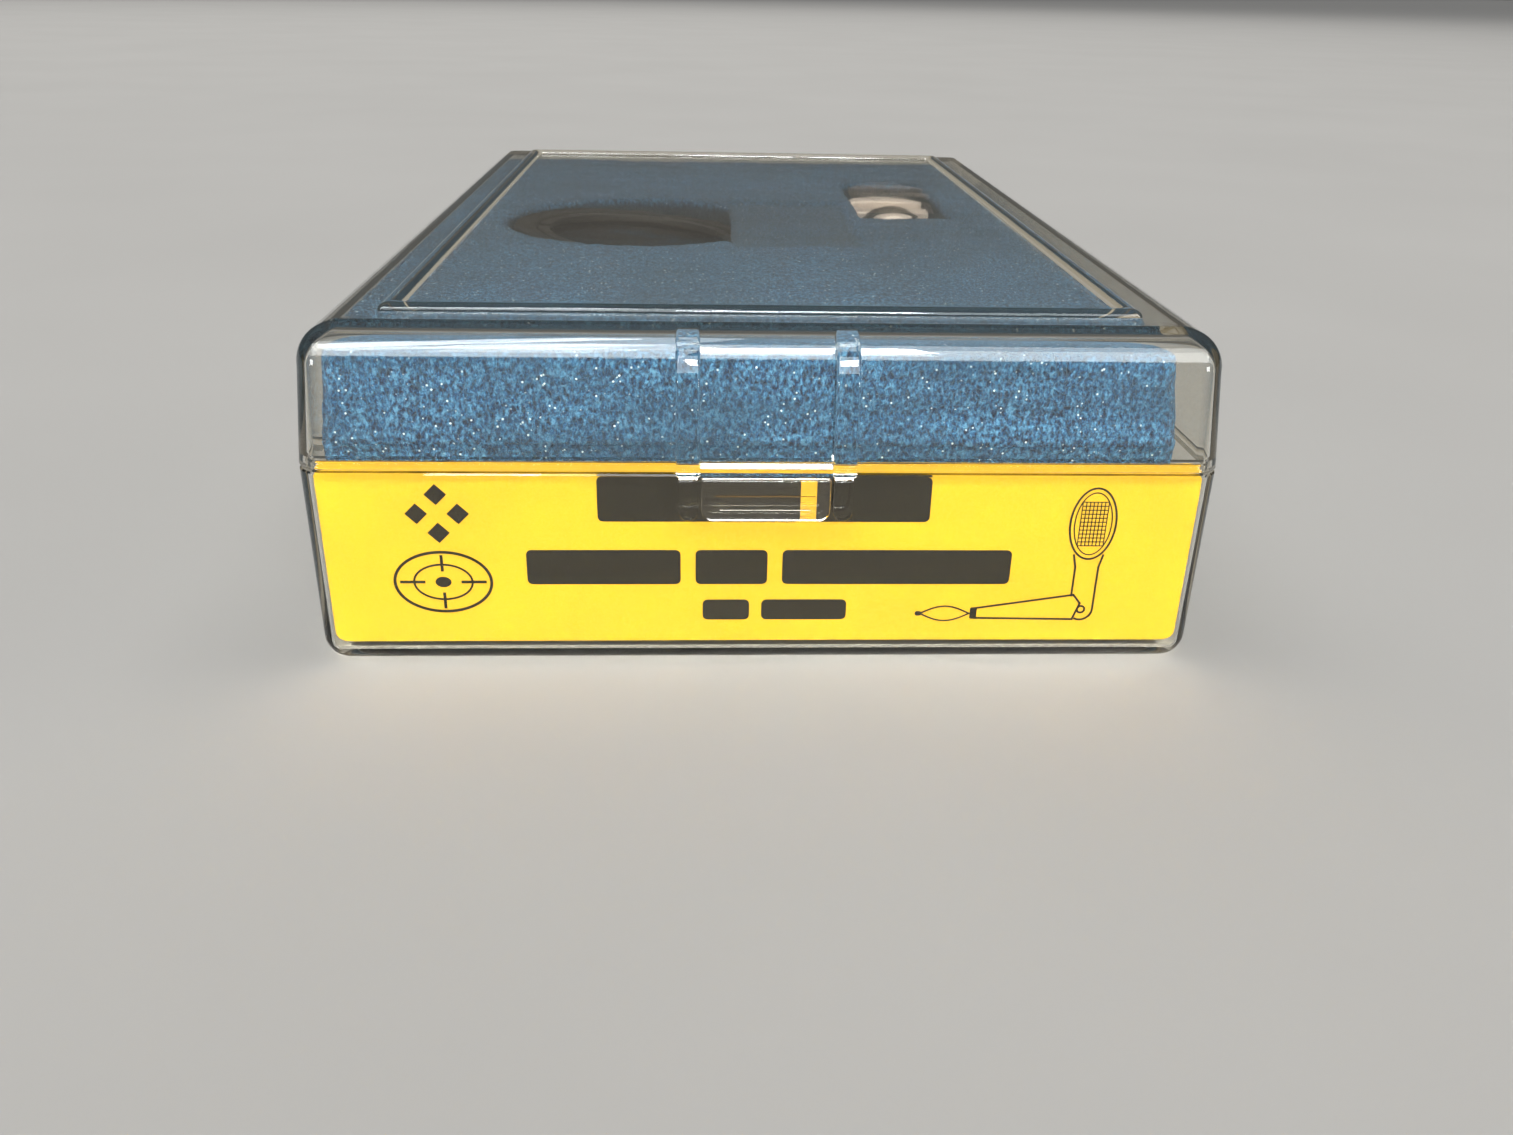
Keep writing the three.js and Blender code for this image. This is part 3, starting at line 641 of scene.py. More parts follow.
def guide_rib(side):
    centre = side * (RIB_GAP + RIB_WIDTH) / 2
    half = GUIDE_WIDTH / 2
    outline = arc(centre, LATCH_LOW + half, half, -180, 0, 16)
    outline += [(centre + half, PARTING), (centre - half, PARTING)]
    made = prism("guide_rib", outline, FRONT - GUIDE_REACH, FRONT + WALL / 2, "y")
    return bevelled(made, 0.3)


def base_lug(centre):
    outline = [
        (REAR - GUSSET_ROOT, hinge.z - 0.5),
        (REAR - GUSSET_ROOT, hinge.z - GUSSET_DEPTH),
        (REAR, hinge.z - GUSSET_DEPTH),
        (hinge.y + 1.5, hinge.z - 1.3),
        (hinge.y, hinge.z - 0.5),
    ]
    low = centre - LUG_WIDTH / 2
    high = centre + LUG_WIDTH / 2
    lug = prism("lug", outline, low, high, "x")
    return joined(lug, tube("lug_eye", KNUCKLE_R, low, high, "x", (hinge.y, hinge.z)))


def pin_bore(side):
    reach = KNUCKLE_WIDTH
    return tube("bore", PIN_BORE_R, side * HINGE_X - reach, side * HINGE_X + reach, "x", (hinge.y, hinge.z))


def make_base():
    shell = case_loft("case_base_shell", base_profile())
    ridge = rectangle(-CATCH_HALF, CATCH_LOW, CATCH_HALF, CATCH_LOW + CATCH_HEIGHT)
    additions = [prism("catch", ridge, FRONT - CATCH_REACH, FRONT + WALL / 2, "y")]
    offset = KNUCKLE_WIDTH / 2 + LUG_GAP + LUG_WIDTH / 2
    for side in (-1, 1):
        additions.append(guide_rib(side))
        additions.append(base_lug(side * HINGE_X - offset))
        additions.append(base_lug(side * HINGE_X + offset))
    joined(shell, *additions)
    cut(shell, pin_bore(-1), pin_bore(1))
    return finished(shell, CLEAR, "clear_plastic", "base", "case_base")


def lid_lean(z):
    return LID_DRAFT * max(0.0, z - LID_BOTTOM)


def lid_profile():
    spring = LID_FLAT - LID_EDGE_R
    lean = lid_lean(spring)
    inner_r = LID_EDGE_R - WALL
    step = LID_BOTTOM + REBATE_HEIGHT
    profile = []
    for x, z in arc(0, 0, inner_r, 90, 0):
        inset = lean + LID_EDGE_R - x
        profile.append((inset, spring + z, inner_corner(inset)))
    profile.append((WALL + lid_lean(step), step, inner_corner(WALL)))
    for inset, z in [
        (REBATE_INSET, step),
        (REBATE_INSET, LID_BOTTOM),
        (EASE, LID_BOTTOM),
        (0, LID_BOTTOM + EASE),
    ]:
        profile.append((inset, z, outer_corner(inset)))
    for x, z in arc(0, 0, LID_EDGE_R, 0, 90):
        inset = lean + LID_EDGE_R - x
        profile.append((inset, spring + z, outer_corner(inset - lean)))
    half = BEAD_WIDTH / 2
    for x, z in arc(0, 0, 1, 180, 0, 12):
        profile.append((BEAD_INSET + half + half * x, LID_FLAT + BEAD_HEIGHT * z, TOP_CORNER_R))
    return profile


def lid_rib(side):
    """A rib that runs up the lid's front from the rim and over its rounded top edge."""
    outer_start = (FRONT - RIB_REACH + 0.5, LID_FLAT - 6)
    outer_end = (FRONT + 6.5, LID_FLAT - 0.1)
    inner_start = (FRONT + 6.5, LID_FLAT - 0.9)
    inner_end = (FRONT + 1.6, LID_FLAT - 5)
    skirt = FRONT + REBATE_INSET / 2
    outline = [
        (FRONT + 0.6, LID_BOTTOM + REBATE_HEIGHT + GAP),
        (skirt, LID_BOTTOM + REBATE_HEIGHT),
        (skirt, LID_BOTTOM),
        (FRONT - RIB_REACH, LID_BOTTOM),
        outer_start,
    ]
    outline += curve_to(outer_start, (FRONT - 0.9, LID_FLAT + 0.15), outer_end)
    outline += [inner_start]
    outline += curve_to(inner_start, (FRONT + 2, LID_FLAT - 1.4), inner_end)
    near = side * RIB_GAP / 2
    far = side * (RIB_GAP / 2 + RIB_WIDTH)
    made = prism("lid_rib", outline, min(near, far), max(near, far), "x")
    return bevelled(made, 0.6, 4, angle=50)


def lid_knuckle(side):
    lean = LID_DRAFT * GUSSET_DEPTH
    web = [
        (REAR - lean - GUSSET_ROOT, hinge.z + GUSSET_DEPTH),
        (REAR - REBATE_INSET / 2, LID_BOTTOM + REBATE_HEIGHT),
        (REAR - REBATE_INSET / 2, hinge.z + 0.5),
        (hinge.y, hinge.z + 0.5),
        (hinge.y + 1.5, hinge.z + 1.3),
        (REAR - lean + 0.3, hinge.z + GUSSET_DEPTH),
    ]
    heel = [
        (hinge.y, hinge.z),
        (hinge.y + 0.6, hinge.z - 1.9),
        (hinge.y + HEEL_R * math.cos(HEEL_ANGLE), hinge.z + HEEL_R * math.sin(HEEL_ANGLE)),
        (hinge.y + 1.9, hinge.z + 0.6),
    ]
    low = side * HINGE_X - KNUCKLE_WIDTH / 2
    high = low + KNUCKLE_WIDTH
    made = prism("web", web, low, high, "x")
    barrel = tube("barrel", KNUCKLE_R, low, high, "x", (hinge.y, hinge.z))
    return joined(made, prism("heel", heel, low, high, "x"), barrel)


def make_lid():
    shell = case_loft("case_lid_shell", lid_profile())
    half = RIB_GAP / 2 + 0.5
    ledge = rectangle(-half, LID_BOTTOM, half, LID_BOTTOM + 1)
    additions = [prism("ledge", ledge, FRONT - TONGUE_FRONT, FRONT + REBATE_INSET / 2, "y")]
    for side in (-1, 1):
        additions.append(lid_rib(side))
        additions.append(lid_knuckle(side))
    joined(shell, *additions)
    cut(shell, pin_bore(-1), pin_bore(1))
    return finished(shell, CLEAR, "clear_plastic", "lid", "case_lid")


def make_tongue():
    half = (tongue_high.x - tongue_low.x) / 2
    radius = 1.2
    outline = [(half, PARTING), (-half, PARTING)]
    outline += arc(-half + radius, LATCH_LOW + radius, radius, -180, -90)
    outline += arc(half - radius, LATCH_LOW + radius, radius, -90, 0)
    plate = bevelled(prism("latch_tab", outline, FRONT - TONGUE_FRONT, FRONT - TONGUE_BACK, "y"), 0.22)
    hook = rectangle(-HOOK_HALF, HOOK_LOW, HOOK_HALF, HOOK_LOW + HOOK_HEIGHT)
    hook = prism("hook", hook, FRONT - TONGUE_BACK - 0.1, FRONT - CATCH_REACH - GAP, "y")
    joined(plate, hook)
    return finished(plate, CLEAR, "clear_plastic", "latch", "latch_tongue")


def make_pins():
    for name, side in (("hinge_pin_left", -1), ("hinge_pin_right", 1)):
        half = (pin_high.x - pin_low.x) / 2
        low = side * HINGE_X - half
        made = tube(name + "_rod", PIN_R, low, low + 2 * half, "x", (hinge.y, hinge.z), 32)
        finished(bevelled(made, 0.15, 2), STEEL, "steel", "base", name)


make_base()
make_lid()
make_tongue()
make_pins()


# ---- Card and its print ----------------------------------

CARD_X = (card_low.x + card_high.x) / 2
CARD_Z = (card_low.z + card_high.z) / 2
CARD_HALF_WIDTH = (card_high.x - card_low.x) / 2
CARD_HALF_HEIGHT = (card_high.z - card_low.z) / 2
CARD_CORNER_R = 1.2
CARD_BOW = 0.1
DOG_EAR = 4.2
DOG_EAR_LIFT = 0.32
INK_GAP = 0.015
INK_THICK = 0.03


def card_bow(x, z):
    """How far the card bows back from its front plane, with its top right corner bent further."""
    across = (x - CARD_X) / CARD_HALF_WIDTH
    bow = CARD_BOW * (1 - across ** 2) * 0.5 * (1 + math.sin(2.2 * across + 0.6))
    to_corner = (CARD_X + CARD_HALF_WIDTH - x) + (CARD_Z + CARD_HALF_HEIGHT - z)
    bend = max(0.0, 1 - to_corner / DOG_EAR)
    return bow + DOG_EAR_LIFT * bend ** 1.5


def bowed(made):
    for vertex in made.data.vertices:
        vertex.co.y += card_bow(vertex.co.x / MM, vertex.co.z / MM) * MM
    return made


def make_card():
    columns, rows = 120, 28
    points = []
    for y in (card_low.y, card_high.y):
        for row in range(rows + 1):
            for column in range(columns + 1):
                x = CARD_HALF_WIDTH * (2 * column / columns - 1)
                z = CARD_HALF_HEIGHT * (2 * row / rows - 1)
                beyond_x = max(0.0, abs(x) - CARD_HALF_WIDTH + CARD_CORNER_R)
                beyond_z = max(0.0, abs(z) - CARD_HALF_HEIGHT + CARD_CORNER_R)
                reach = math.hypot(beyond_x, beyond_z)
                widest = max(beyond_x, beyond_z)
                pull = widest / reach if reach > 0 else 1
                x -= math.copysign(beyond_x * (1 - pull), x)
                z -= math.copysign(beyond_z * (1 - pull), z)
                points.append((CARD_X + x, y, CARD_Z + z))
    stride = columns + 1
    sheet = (rows + 1) * stride
    faces = []
    for row in range(rows):
        for column in range(columns):
            at = row * stride + column
            faces.append((at, at + 1, at + 1 + stride, at + stride))
            faces.append((sheet + at, sheet + at + stride, sheet + at + 1 + stride, sheet + at + 1))
    border = list(range(stride)) + [row * stride + columns for row in range(1, rows + 1)]
    border += [rows * stride + column for column in range(columns - 1, -1, -1)]
    border += [row * stride for row in range(rows - 1, 0, -1)]
    for k, here in enumerate(border):
        after = border[(k + 1) % len(border)]
        faces.append((here, after, sheet + after, sheet + here))
    made = bowed(mesh_object("label_card_sheet", points, faces))
    return finished(made, CARD, "printed_card", "base", "label_card")


class Print:
    """Ink shapes on the card's front, as thin solids. Places are millimetres from the card's centre."""

    def __init__(self):
        self.points = []
        self.faces = []

    def shape(self, outline, hole=None):
        """A filled outline, or the band between an outline and a hole with as many points."""
        front = card_low.y - INK_GAP - INK_THICK
        back = card_low.y - INK_GAP
        count = len(outline)
        loops = [outline] if hole is None else [outline, hole]
        start = len(self.points)
        for loop in loops:
            for y in (front, back):
                self.points += [(CARD_X + x, y, CARD_Z + z) for x, z in loop]
        for loop in range(len(loops)):
            first = start + 2 * loop * count
            self.faces += band(first, first + count, count)
        for side in (start, start + count):
            if hole is None:
                self.faces.append(list(range(side, side + count)))
            else:
                self.faces += band(side, side + 2 * count, count)

    def bar(self, x0, z0, x1, z1, radius):
        half_x = (x1 - x0) / 2
        half_z = (z1 - z0) / 2
        radius = min(radius, half_x * 0.98, half_z * 0.98)
        middle = ((x0 + x1) / 2, (z0 + z1) / 2)
        outline = rounded_rectangle(half_x, half_z, radius, 5)
        self.shape([(middle[0] + x, middle[1] + z) for x, z in outline])

    def ellipse(self, x, z, half_x, half_z, thick=None, sides=56):
        hole = ellipse_points((x, z), half_x - thick, half_z - thick, sides) if thick else None
        self.shape(ellipse_points((x, z), half_x, half_z, sides), hole)

    def line(self, start, end, width):
        along = (Vector(end) - Vector(start)).normalized() * width / 2
        side = Vector((-along.y, along.x))
        a, b = Vector(start) - along, Vector(end) + along
        self.shape([a - side, b - side, b + side, a + side])

    def path(self, points, width, closed=False):
        stops = points + points[:1] if closed else points
        for start, end in zip(stops, stops[1:]):
            self.line(start, end, width)

    def finish(self, name):
        made = bowed(mesh_object(name, self.points, self.faces))
        return finished(made, INK, "printed_card", "base", angle=30)


LINE = 0.24
HEAVY = 0.34
FINE = 0.11


def print_marks(art):
    """The left of the card: four lozenges over a plain sighting ring."""
    x, top, low = -36.3, 5.1, -3.3
    for step_x, step_z in ((0, 1), (1, 0), (0, -1), (-1, 0)):
        art.ellipse(x + 2.3 * step_x, top + 2.3 * step_z, 1.25, 1.25, sides=4)
    art.ellipse(x, low, 5.6, 3.9, HEAVY)
    art.ellipse(x, low, 3.4, 2.3, LINE)
    art.ellipse(x, low, 0.9, 0.65)
    for side in (-1, 1):
        art.line((x + side * 2.2, low), (x + side * 4.7, low), HEAVY)
        art.line((x, low + side * 1.5), (x, low + side * 3.2), HEAVY)


def print_rows(art):
    """The middle of the card: three rows of plain bars, where a maker would set its text."""
    top_row = (-18.6, 18.7, 4.2, 9.6, (22.6, 12.9))
    middle_row = (-26.8, 28.6, -3.6, 0.7, (17.4, 8.2, 26.4))
    low_row = (-6.9, 9.8, -8.2, -5.6, (5.4, 9.9))
    for start, end, low, high, blocks in (top_row, middle_row, low_row):
        gap = (end - start - sum(blocks)) / (len(blocks) - 1)
        at = start
        for width in blocks:
            art.bar(at, low, at + width, high, 0.6)
            at += width + gap


def print_tool(art):
    """The right of the card: a line drawing of the tool, its plate upright on its arbor."""
    head_x, head_z, half_x, half_z = 37.5, 4.0, 2.75, 4.5
    art.ellipse(head_x, head_z, half_x, half_z, LINE)
    art.ellipse(head_x, head_z, half_x - 0.55, half_z - 0.6, LINE * 0.6)
    grid_x, grid_z = 1.5, 2.7
    for k in range(8):
        across = grid_x * (2 * k / 7 - 1)
        art.line((head_x + across, head_z - grid_z), (head_x + across, head_z + grid_z), FINE)
    for k in range(12):
        up = grid_z * (2 * k / 11 - 1)
        art.line((head_x - grid_x, head_z + up), (head_x + grid_x, head_z + up), FINE)
    foot = -7.3
    stem = 1.35
    for side in (-1, 1):
        line = [
            (head_x + side * 1.7, head_z - half_z + 0.6),
            (head_x + side * stem, head_z - half_z - 0.9),
            (head_x + side * stem, foot + (2.2 if side < 0 else 0.4)),
        ]
        if side > 0:
            line += arc(head_x, foot + 0.4, stem, 0, -115)
        art.path(line, LINE)
    art.ellipse(head_x, foot + 0.4, 0.55, 0.55, LINE)
    taper = [(36.4, foot + 2.3), (37.3, foot + 1.2), (36.6, foot - 0.9)]
    taper += [(25.0, foot - 0.75), (25.0, foot + 0.55)]
    art.path(taper, LINE, closed=True)
    art.bar(24.4, foot - 0.85, 25.2, foot + 0.65, 0.2)
    leaf_x, leaf_z, leaf_half = 21.4, foot - 0.15, 2.9
    for side in (-1, 1):
        bow = [(leaf_x + leaf_half * (1 - k / 6), leaf_z + side * 0.95 * math.sin(math.pi * k / 12))
               for k in range(13)]
        art.path(bow, LINE * 0.8)
    art.bar(17.9, leaf_z - 0.3, 18.7, leaf_z + 0.3, 0.3)


def make_print():
    art = Print()
    print_marks(art)
    print_rows(art)
    print_tool(art)
    art.finish("card_print")


make_card()
make_print()


# ---- Sight plate: drawn about the head's centre, with its stem along +X ----

HEAD_R = 20.0
HEAD_THICK = 5.0
BORE_R = 16.5
RING_INNER_R = BORE_R - 2
STEM_THICK = 3.5
STEM_END = 34.0
STEM_HOLE_X = STEM_END - 6.5
STEM_HOLE_R = 2.2
HEAD_TILT = math.radians(4.3)
SCREEN_MIDDLE = -0.2
NOTCH_X = 15.4
NOTCH_HALF = 0.9
GRID_LINE = 0.12
GRID_CROSS = 0.26
GRID_THICK = 0.02


def plate_place():
    low, high = box_mm("grid_screen")
    turn = Matrix.Rotation(HEAD_TILT, 4, "Y")
    centre = (low + high) / 2 - turn @ Vector((0, 0, SCREEN_MIDDLE))
    return Matrix.Translation(centre * MM) @ turn


PLATE = plate_place()
UPRIGHT = Matrix.Rotation(math.pi / 2, 4, "X")


def soft_loop(inner, outer, low, high, ease):
    """The profile of a ring with its four edges rounded."""
    return (
        arc(outer - ease, low + ease, ease, -90, 0, 4)
        + arc(outer - ease, high - ease, ease, 0, 90, 4)
        + arc(inner + ease, high - ease, ease, 90, 180, 4)
        + arc(inner + ease, low + ease, ease, 180, 270, 4)
    )


def soft_disc(radius, low, high, ease):
    return (
        [(0, low)]
        + arc(radius - ease, low + ease, ease, -90, 0, 4)
        + arc(radius - ease, high - ease, ease, 0, 90, 4)
        + [(0, high)]
    )


def stem_outline():
    wide, narrow, chamfer = 7.5, 6.0, 2.0
    half = [
        (BORE_R + 1, wide),
        (HEAD_R + 4, wide),
        (HEAD_R + 7, narrow),
        (STEM_END - chamfer, narrow),
        (STEM_END, narrow - chamfer),
    ]
    return [(x, -y) for x, y in half] + [(x, y) for x, y in reversed(half)]


def make_sight_plate():
    low = -HEAD_THICK / 2
    ring = moved(turned("sight_ring", soft_loop(BORE_R, HEAD_R, low, -low, 0.6)), UPRIGHT)
    stem = bevelled(prism("sight_stem", stem_outline(), low, low + STEM_THICK, "z"), 0.4)
    joined(stem, ring)
    cut(stem, tube("hole", STEM_HOLE_R, -HEAD_THICK, HEAD_THICK, "z", (STEM_HOLE_X, 0)))
    stem.name = "sight_plate_body"
    finished(moved(stem, PLATE), BLACK, "black_plastic", "base", "sight_plate")


def make_retaining_ring(name, node, low, high):
    ring = moved(turned(name, soft_loop(RING_INNER_R, BORE_R - GAP, low, high, 0.15)), UPRIGHT)
    for middle in (-NOTCH_X, NOTCH_X):
        outline = rectangle(middle - NOTCH_HALF, -NOTCH_HALF, middle + NOTCH_HALF, NOTCH_HALF)
        cut(ring, prism("notch", outline, low - 1, high + 1, "z"))
    finished(moved(ring, PLATE), BLACK, "black_plastic", "base", node)


def make_bore_disc(name, node, low, high, material, slot):
    disc = moved(turned(name, soft_disc(BORE_R - GAP, low, high, 0.1)), UPRIGHT)
    finished(moved(disc, PLATE), material, slot, "base", node)


def make_grid():
    """The sighting grid: fine pale lines on the screen, and a heavier centre cross."""
    half_x, half_y = 8.0, 11.0
    columns, rows = 12, 16
    bars = []
    for k in range(columns + 1):
        x = half_x * (2 * k / columns - 1)
        width = GRID_CROSS if 2 * k == columns else GRID_LINE
        bars.append(rectangle(x - width / 2, -half_y, x + width / 2, half_y))
    for k in range(rows + 1):
        y = half_y * (2 * k / rows - 1)
        width = GRID_CROSS if 2 * k == rows else GRID_LINE
        bars.append(rectangle(-half_x, y - width / 2, half_x, y + width / 2))
    points = []
    faces = []
    for index, bar in enumerate(bars):
        lift = 0.02 if index <= columns else 0.05
        start = len(points)
        for z in (lift, lift + GRID_THICK):
            points += [(x, y, z) for x, y in bar]
        faces += [[start + k for k in face] for face in (
            (3, 2, 1, 0), (4, 5, 6, 7), (0, 1, 5, 4), (1, 2, 6, 5), (2, 3, 7, 6), (3, 0, 4, 7),
        )]
    made = moved(mesh_object("grid_lines", points, faces), PLATE)
    finished(made, DIFFUSER, "diffuser", "base")


make_sight_plate()
make_retaining_ring("upper_ring", "upper_retaining_ring", 1.4, 2.3)
make_retaining_ring("lower_ring", "lower_retaining_ring", -2.4, -1.6)
make_bore_disc("window_disc", "window_glass", 0.3, 1.1, SMOKED, "smoked_window")
make_bore_disc("screen_disc", "grid_screen", -0.4, 0.0, BLACK, "black_plastic")
make_bore_disc("diffuser_disc", "rear_diffuser", -1.3, -0.7, DIFFUSER, "diffuser")
make_grid()


# ---- Arbor: drawn about the taper's thick end, with its tip along -Y -------

ARBOR_R = 6.5
ARBOR_TIP_R = 2.6
TAPER_LENGTH = 56.0
ROD_R = 1.2
ROD_BORE_R = 1.5
RING_R = 6.9
NECK_START = 0.35
NECK_END = 3.05
GROOVE_DEPTH = 0.16
BOSS_START = 3.4
BOSS_END = 15.4
BOSS_HALF_WIDTH = 7.0
BOSS_HALF_HEIGHT = 5.5
BOSS_CORNER_R = 5.0
SPIGOT_R = 3.0
SLOT_START = 6.8
SLOT_END = 11.2
SCREW_BORE_R = 2.2
SHANK_R = 1.9
SCREW_HEAD_R = 4.5
SCREW_HEAD_START = 15.8
SCREW_HEAD_LENGTH = 4.0
SCREW_FLUTES = 12
FLUTE_DEPTH = 0.42
LEAF_LENGTH = 28.0
LEAF_HALF_WIDTH = 3.8
LEAF_ROOT = 1.7
LEAF_THICK = 0.6
LEAF_HEIGHT = 4.4
FERRULE_R = 2.4
FERRULE_LENGTH = 4.5
FERRULE_SOCKET = 2.7
NOSE_LENGTH = 2.4

screw_joint = joint_of("clamp_screw_turn")
ARBOR_TILT = math.atan2(screw_joint["axis"][2], screw_joint["axis"][1])
ARBOR = Matrix.Translation(Vector(screw_joint["pos_m"])) @ Matrix.Rotation(ARBOR_TILT, 4, "X")


def taper_radius(y):
    return ARBOR_R + (ARBOR_R - ARBOR_TIP_R) * y / TAPER_LENGTH


def make_arbor_body():
    profile = [(ROD_BORE_R, 0), (ARBOR_R - 0.5, 0), (taper_radius(-0.5), -0.5)]
    for y in (-3.0, -4.2, -5.4):
        profile += [
            (taper_radius(y), y),
            (taper_radius(y) - GROOVE_DEPTH, y - 0.15),
            (taper_radius(y) - GROOVE_DEPTH, y - 0.35),
            (taper_radius(y - 0.5), y - 0.5),
        ]
    end = -TAPER_LENGTH
    profile += [(taper_radius(end + 0.6), end + 0.6), (ARBOR_TIP_R - 0.4, end), (ROD_BORE_R, end)]
    made = moved(turned("arbor_taper", profile), ARBOR)
    finished(made, ALLOY, "alloy", "base", "arbor_body")


def make_neck_ring():
    made = turned("neck_collar", soft_loop(SPIGOT_R + GAP, RING_R, NECK_START, NECK_END, 0.5))
    finished(moved(made, ARBOR), BLACK, "black_plastic", "base", "neck_ring")


def make_boss():
    half, radius = BOSS_HALF_WIDTH, BOSS_CORNER_R
    outline = [(-half, BOSS_START), (half, BOSS_START)]
    outline += arc(half - radius, BOSS_END - radius, radius, 0, 90, 16)
    outline += arc(-half + radius, BOSS_END - radius, radius, 90, 180, 16)
    block = prism("arbor_clamp", outline, -BOSS_HALF_HEIGHT, BOSS_HALF_HEIGHT, "z")
    gap = rectangle(-half - 1, SLOT_START, half + 1, SLOT_END)
    slot = prism("slot", gap, -2, BOSS_HALF_HEIGHT + 1, "z")
    bevelled(cut(block, slot), 0.45)
    cut(block, tube("bore", SCREW_BORE_R, SLOT_END - 1, BOSS_END + 1, "y"))
    joined(block, tube("spigot", SPIGOT_R, NECK_START, BOSS_START + 1, "y"))
    finished(moved(block, ARBOR), ALLOY, "alloy", "base", "arbor_boss")


def make_screw():
    """A thumb screw with a fluted head and a coin slot."""
    steps = 8 * SCREW_FLUTES
    outline = []
    for k in range(steps):
        angle = 2 * math.pi * k / steps
        radius = SCREW_HEAD_R - FLUTE_DEPTH * max(0.0, math.cos(SCREW_FLUTES * angle)) ** 2
        outline.append((radius * math.cos(angle), radius * math.sin(angle)))
    end = SCREW_HEAD_START + SCREW_HEAD_LENGTH
    head = bevelled(prism("thumb_screw", outline, SCREW_HEAD_START, end, "y"), 0.3, angle=60)
    cut(head, prism("coin_slot", rectangle(-5, -0.5, 5, 0.5), end - 1, end + 1, "y"))
    joined(head, tube("shank", SHANK_R, SLOT_END + 0.6, SCREW_HEAD_START + 1, "y"))
    finished(moved(head, ARBOR), STEEL, "steel", "screw", "clamp_screw")


def make_springs():
    start = -TAPER_LENGTH - GAP
    end = start - LEAF_LENGTH + GAP
    middle = (start + end) / 2
    for name, side in (("leaf_spring_left", -1), ("leaf_spring_right", 1)):
        bow = side * (2 * LEAF_HALF_WIDTH - LEAF_ROOT)
        root = side * LEAF_ROOT
        thick = side * LEAF_THICK
        outline = [(root, start)] + curve_to((root, start), (bow, middle), (root, end), 28)
        outline += [(root + thick, end)]
        outline += curve_to((root + thick, end), (bow + thick, middle), (root + thick, start), 28)
        strip = prism(name + "_strip", outline, -LEAF_HEIGHT / 2, LEAF_HEIGHT / 2, "z")
        strip = moved(bevelled(strip, 0.12, 2, 50), ARBOR)
        finished(strip, SPRING, "spring_steel", "base", name)


def make_rod_and_ferrule():
    start = -TAPER_LENGTH - LEAF_LENGTH - GAP
    rod = tube("core_rod_bar", ROD_R, start + 0.5 - FERRULE_SOCKET, -3, "y", sides=32)
    finished(moved(rod, ARBOR), STEEL, "steel", "base", "core_rod")
    end = start - FERRULE_LENGTH
    profile = [(0, start - FERRULE_SOCKET), (ROD_BORE_R, start - FERRULE_SOCKET), (ROD_BORE_R, start)]
    profile += [(FERRULE_R - 0.2, start), (FERRULE_R, start - 0.2)]
    for x, y in arc(0, 0, 1, 0, -90, 12):
        profile.append((FERRULE_R * x, end + NOSE_LENGTH + NOSE_LENGTH * y))
    profile[-1] = (0, end)
    made = turned("arbor_nose", profile, 64)
    finished(moved(made, ARBOR), BLACK, "black_plastic", "base", "tip_ferrule")


make_arbor_body()
make_neck_ring()
make_boss()
make_screw()
make_springs()
make_rod_and_ferrule()


# ---- Foam ------------------------------------------------

FOAM_VOXEL = 0.8
FOAM_SWELL = 0.22
FOAM_TEAR = 0.14
FOAM_SETTLE = 0.1
FOAM_MEET = 0.13
FLARE_REACH = 5.0
CREASE_DEPTH = 0.45
CREASE_HALF = 0.9
FOAM_LAP = 0.9
LAP_REACH = 1.5


def side_distances(point, low, high):
    """How far a point lies inside the nearest outer face along X, and along Y."""
    return [min(point[axis] - low[axis], high[axis] - point[axis]) for axis in (0, 1)]


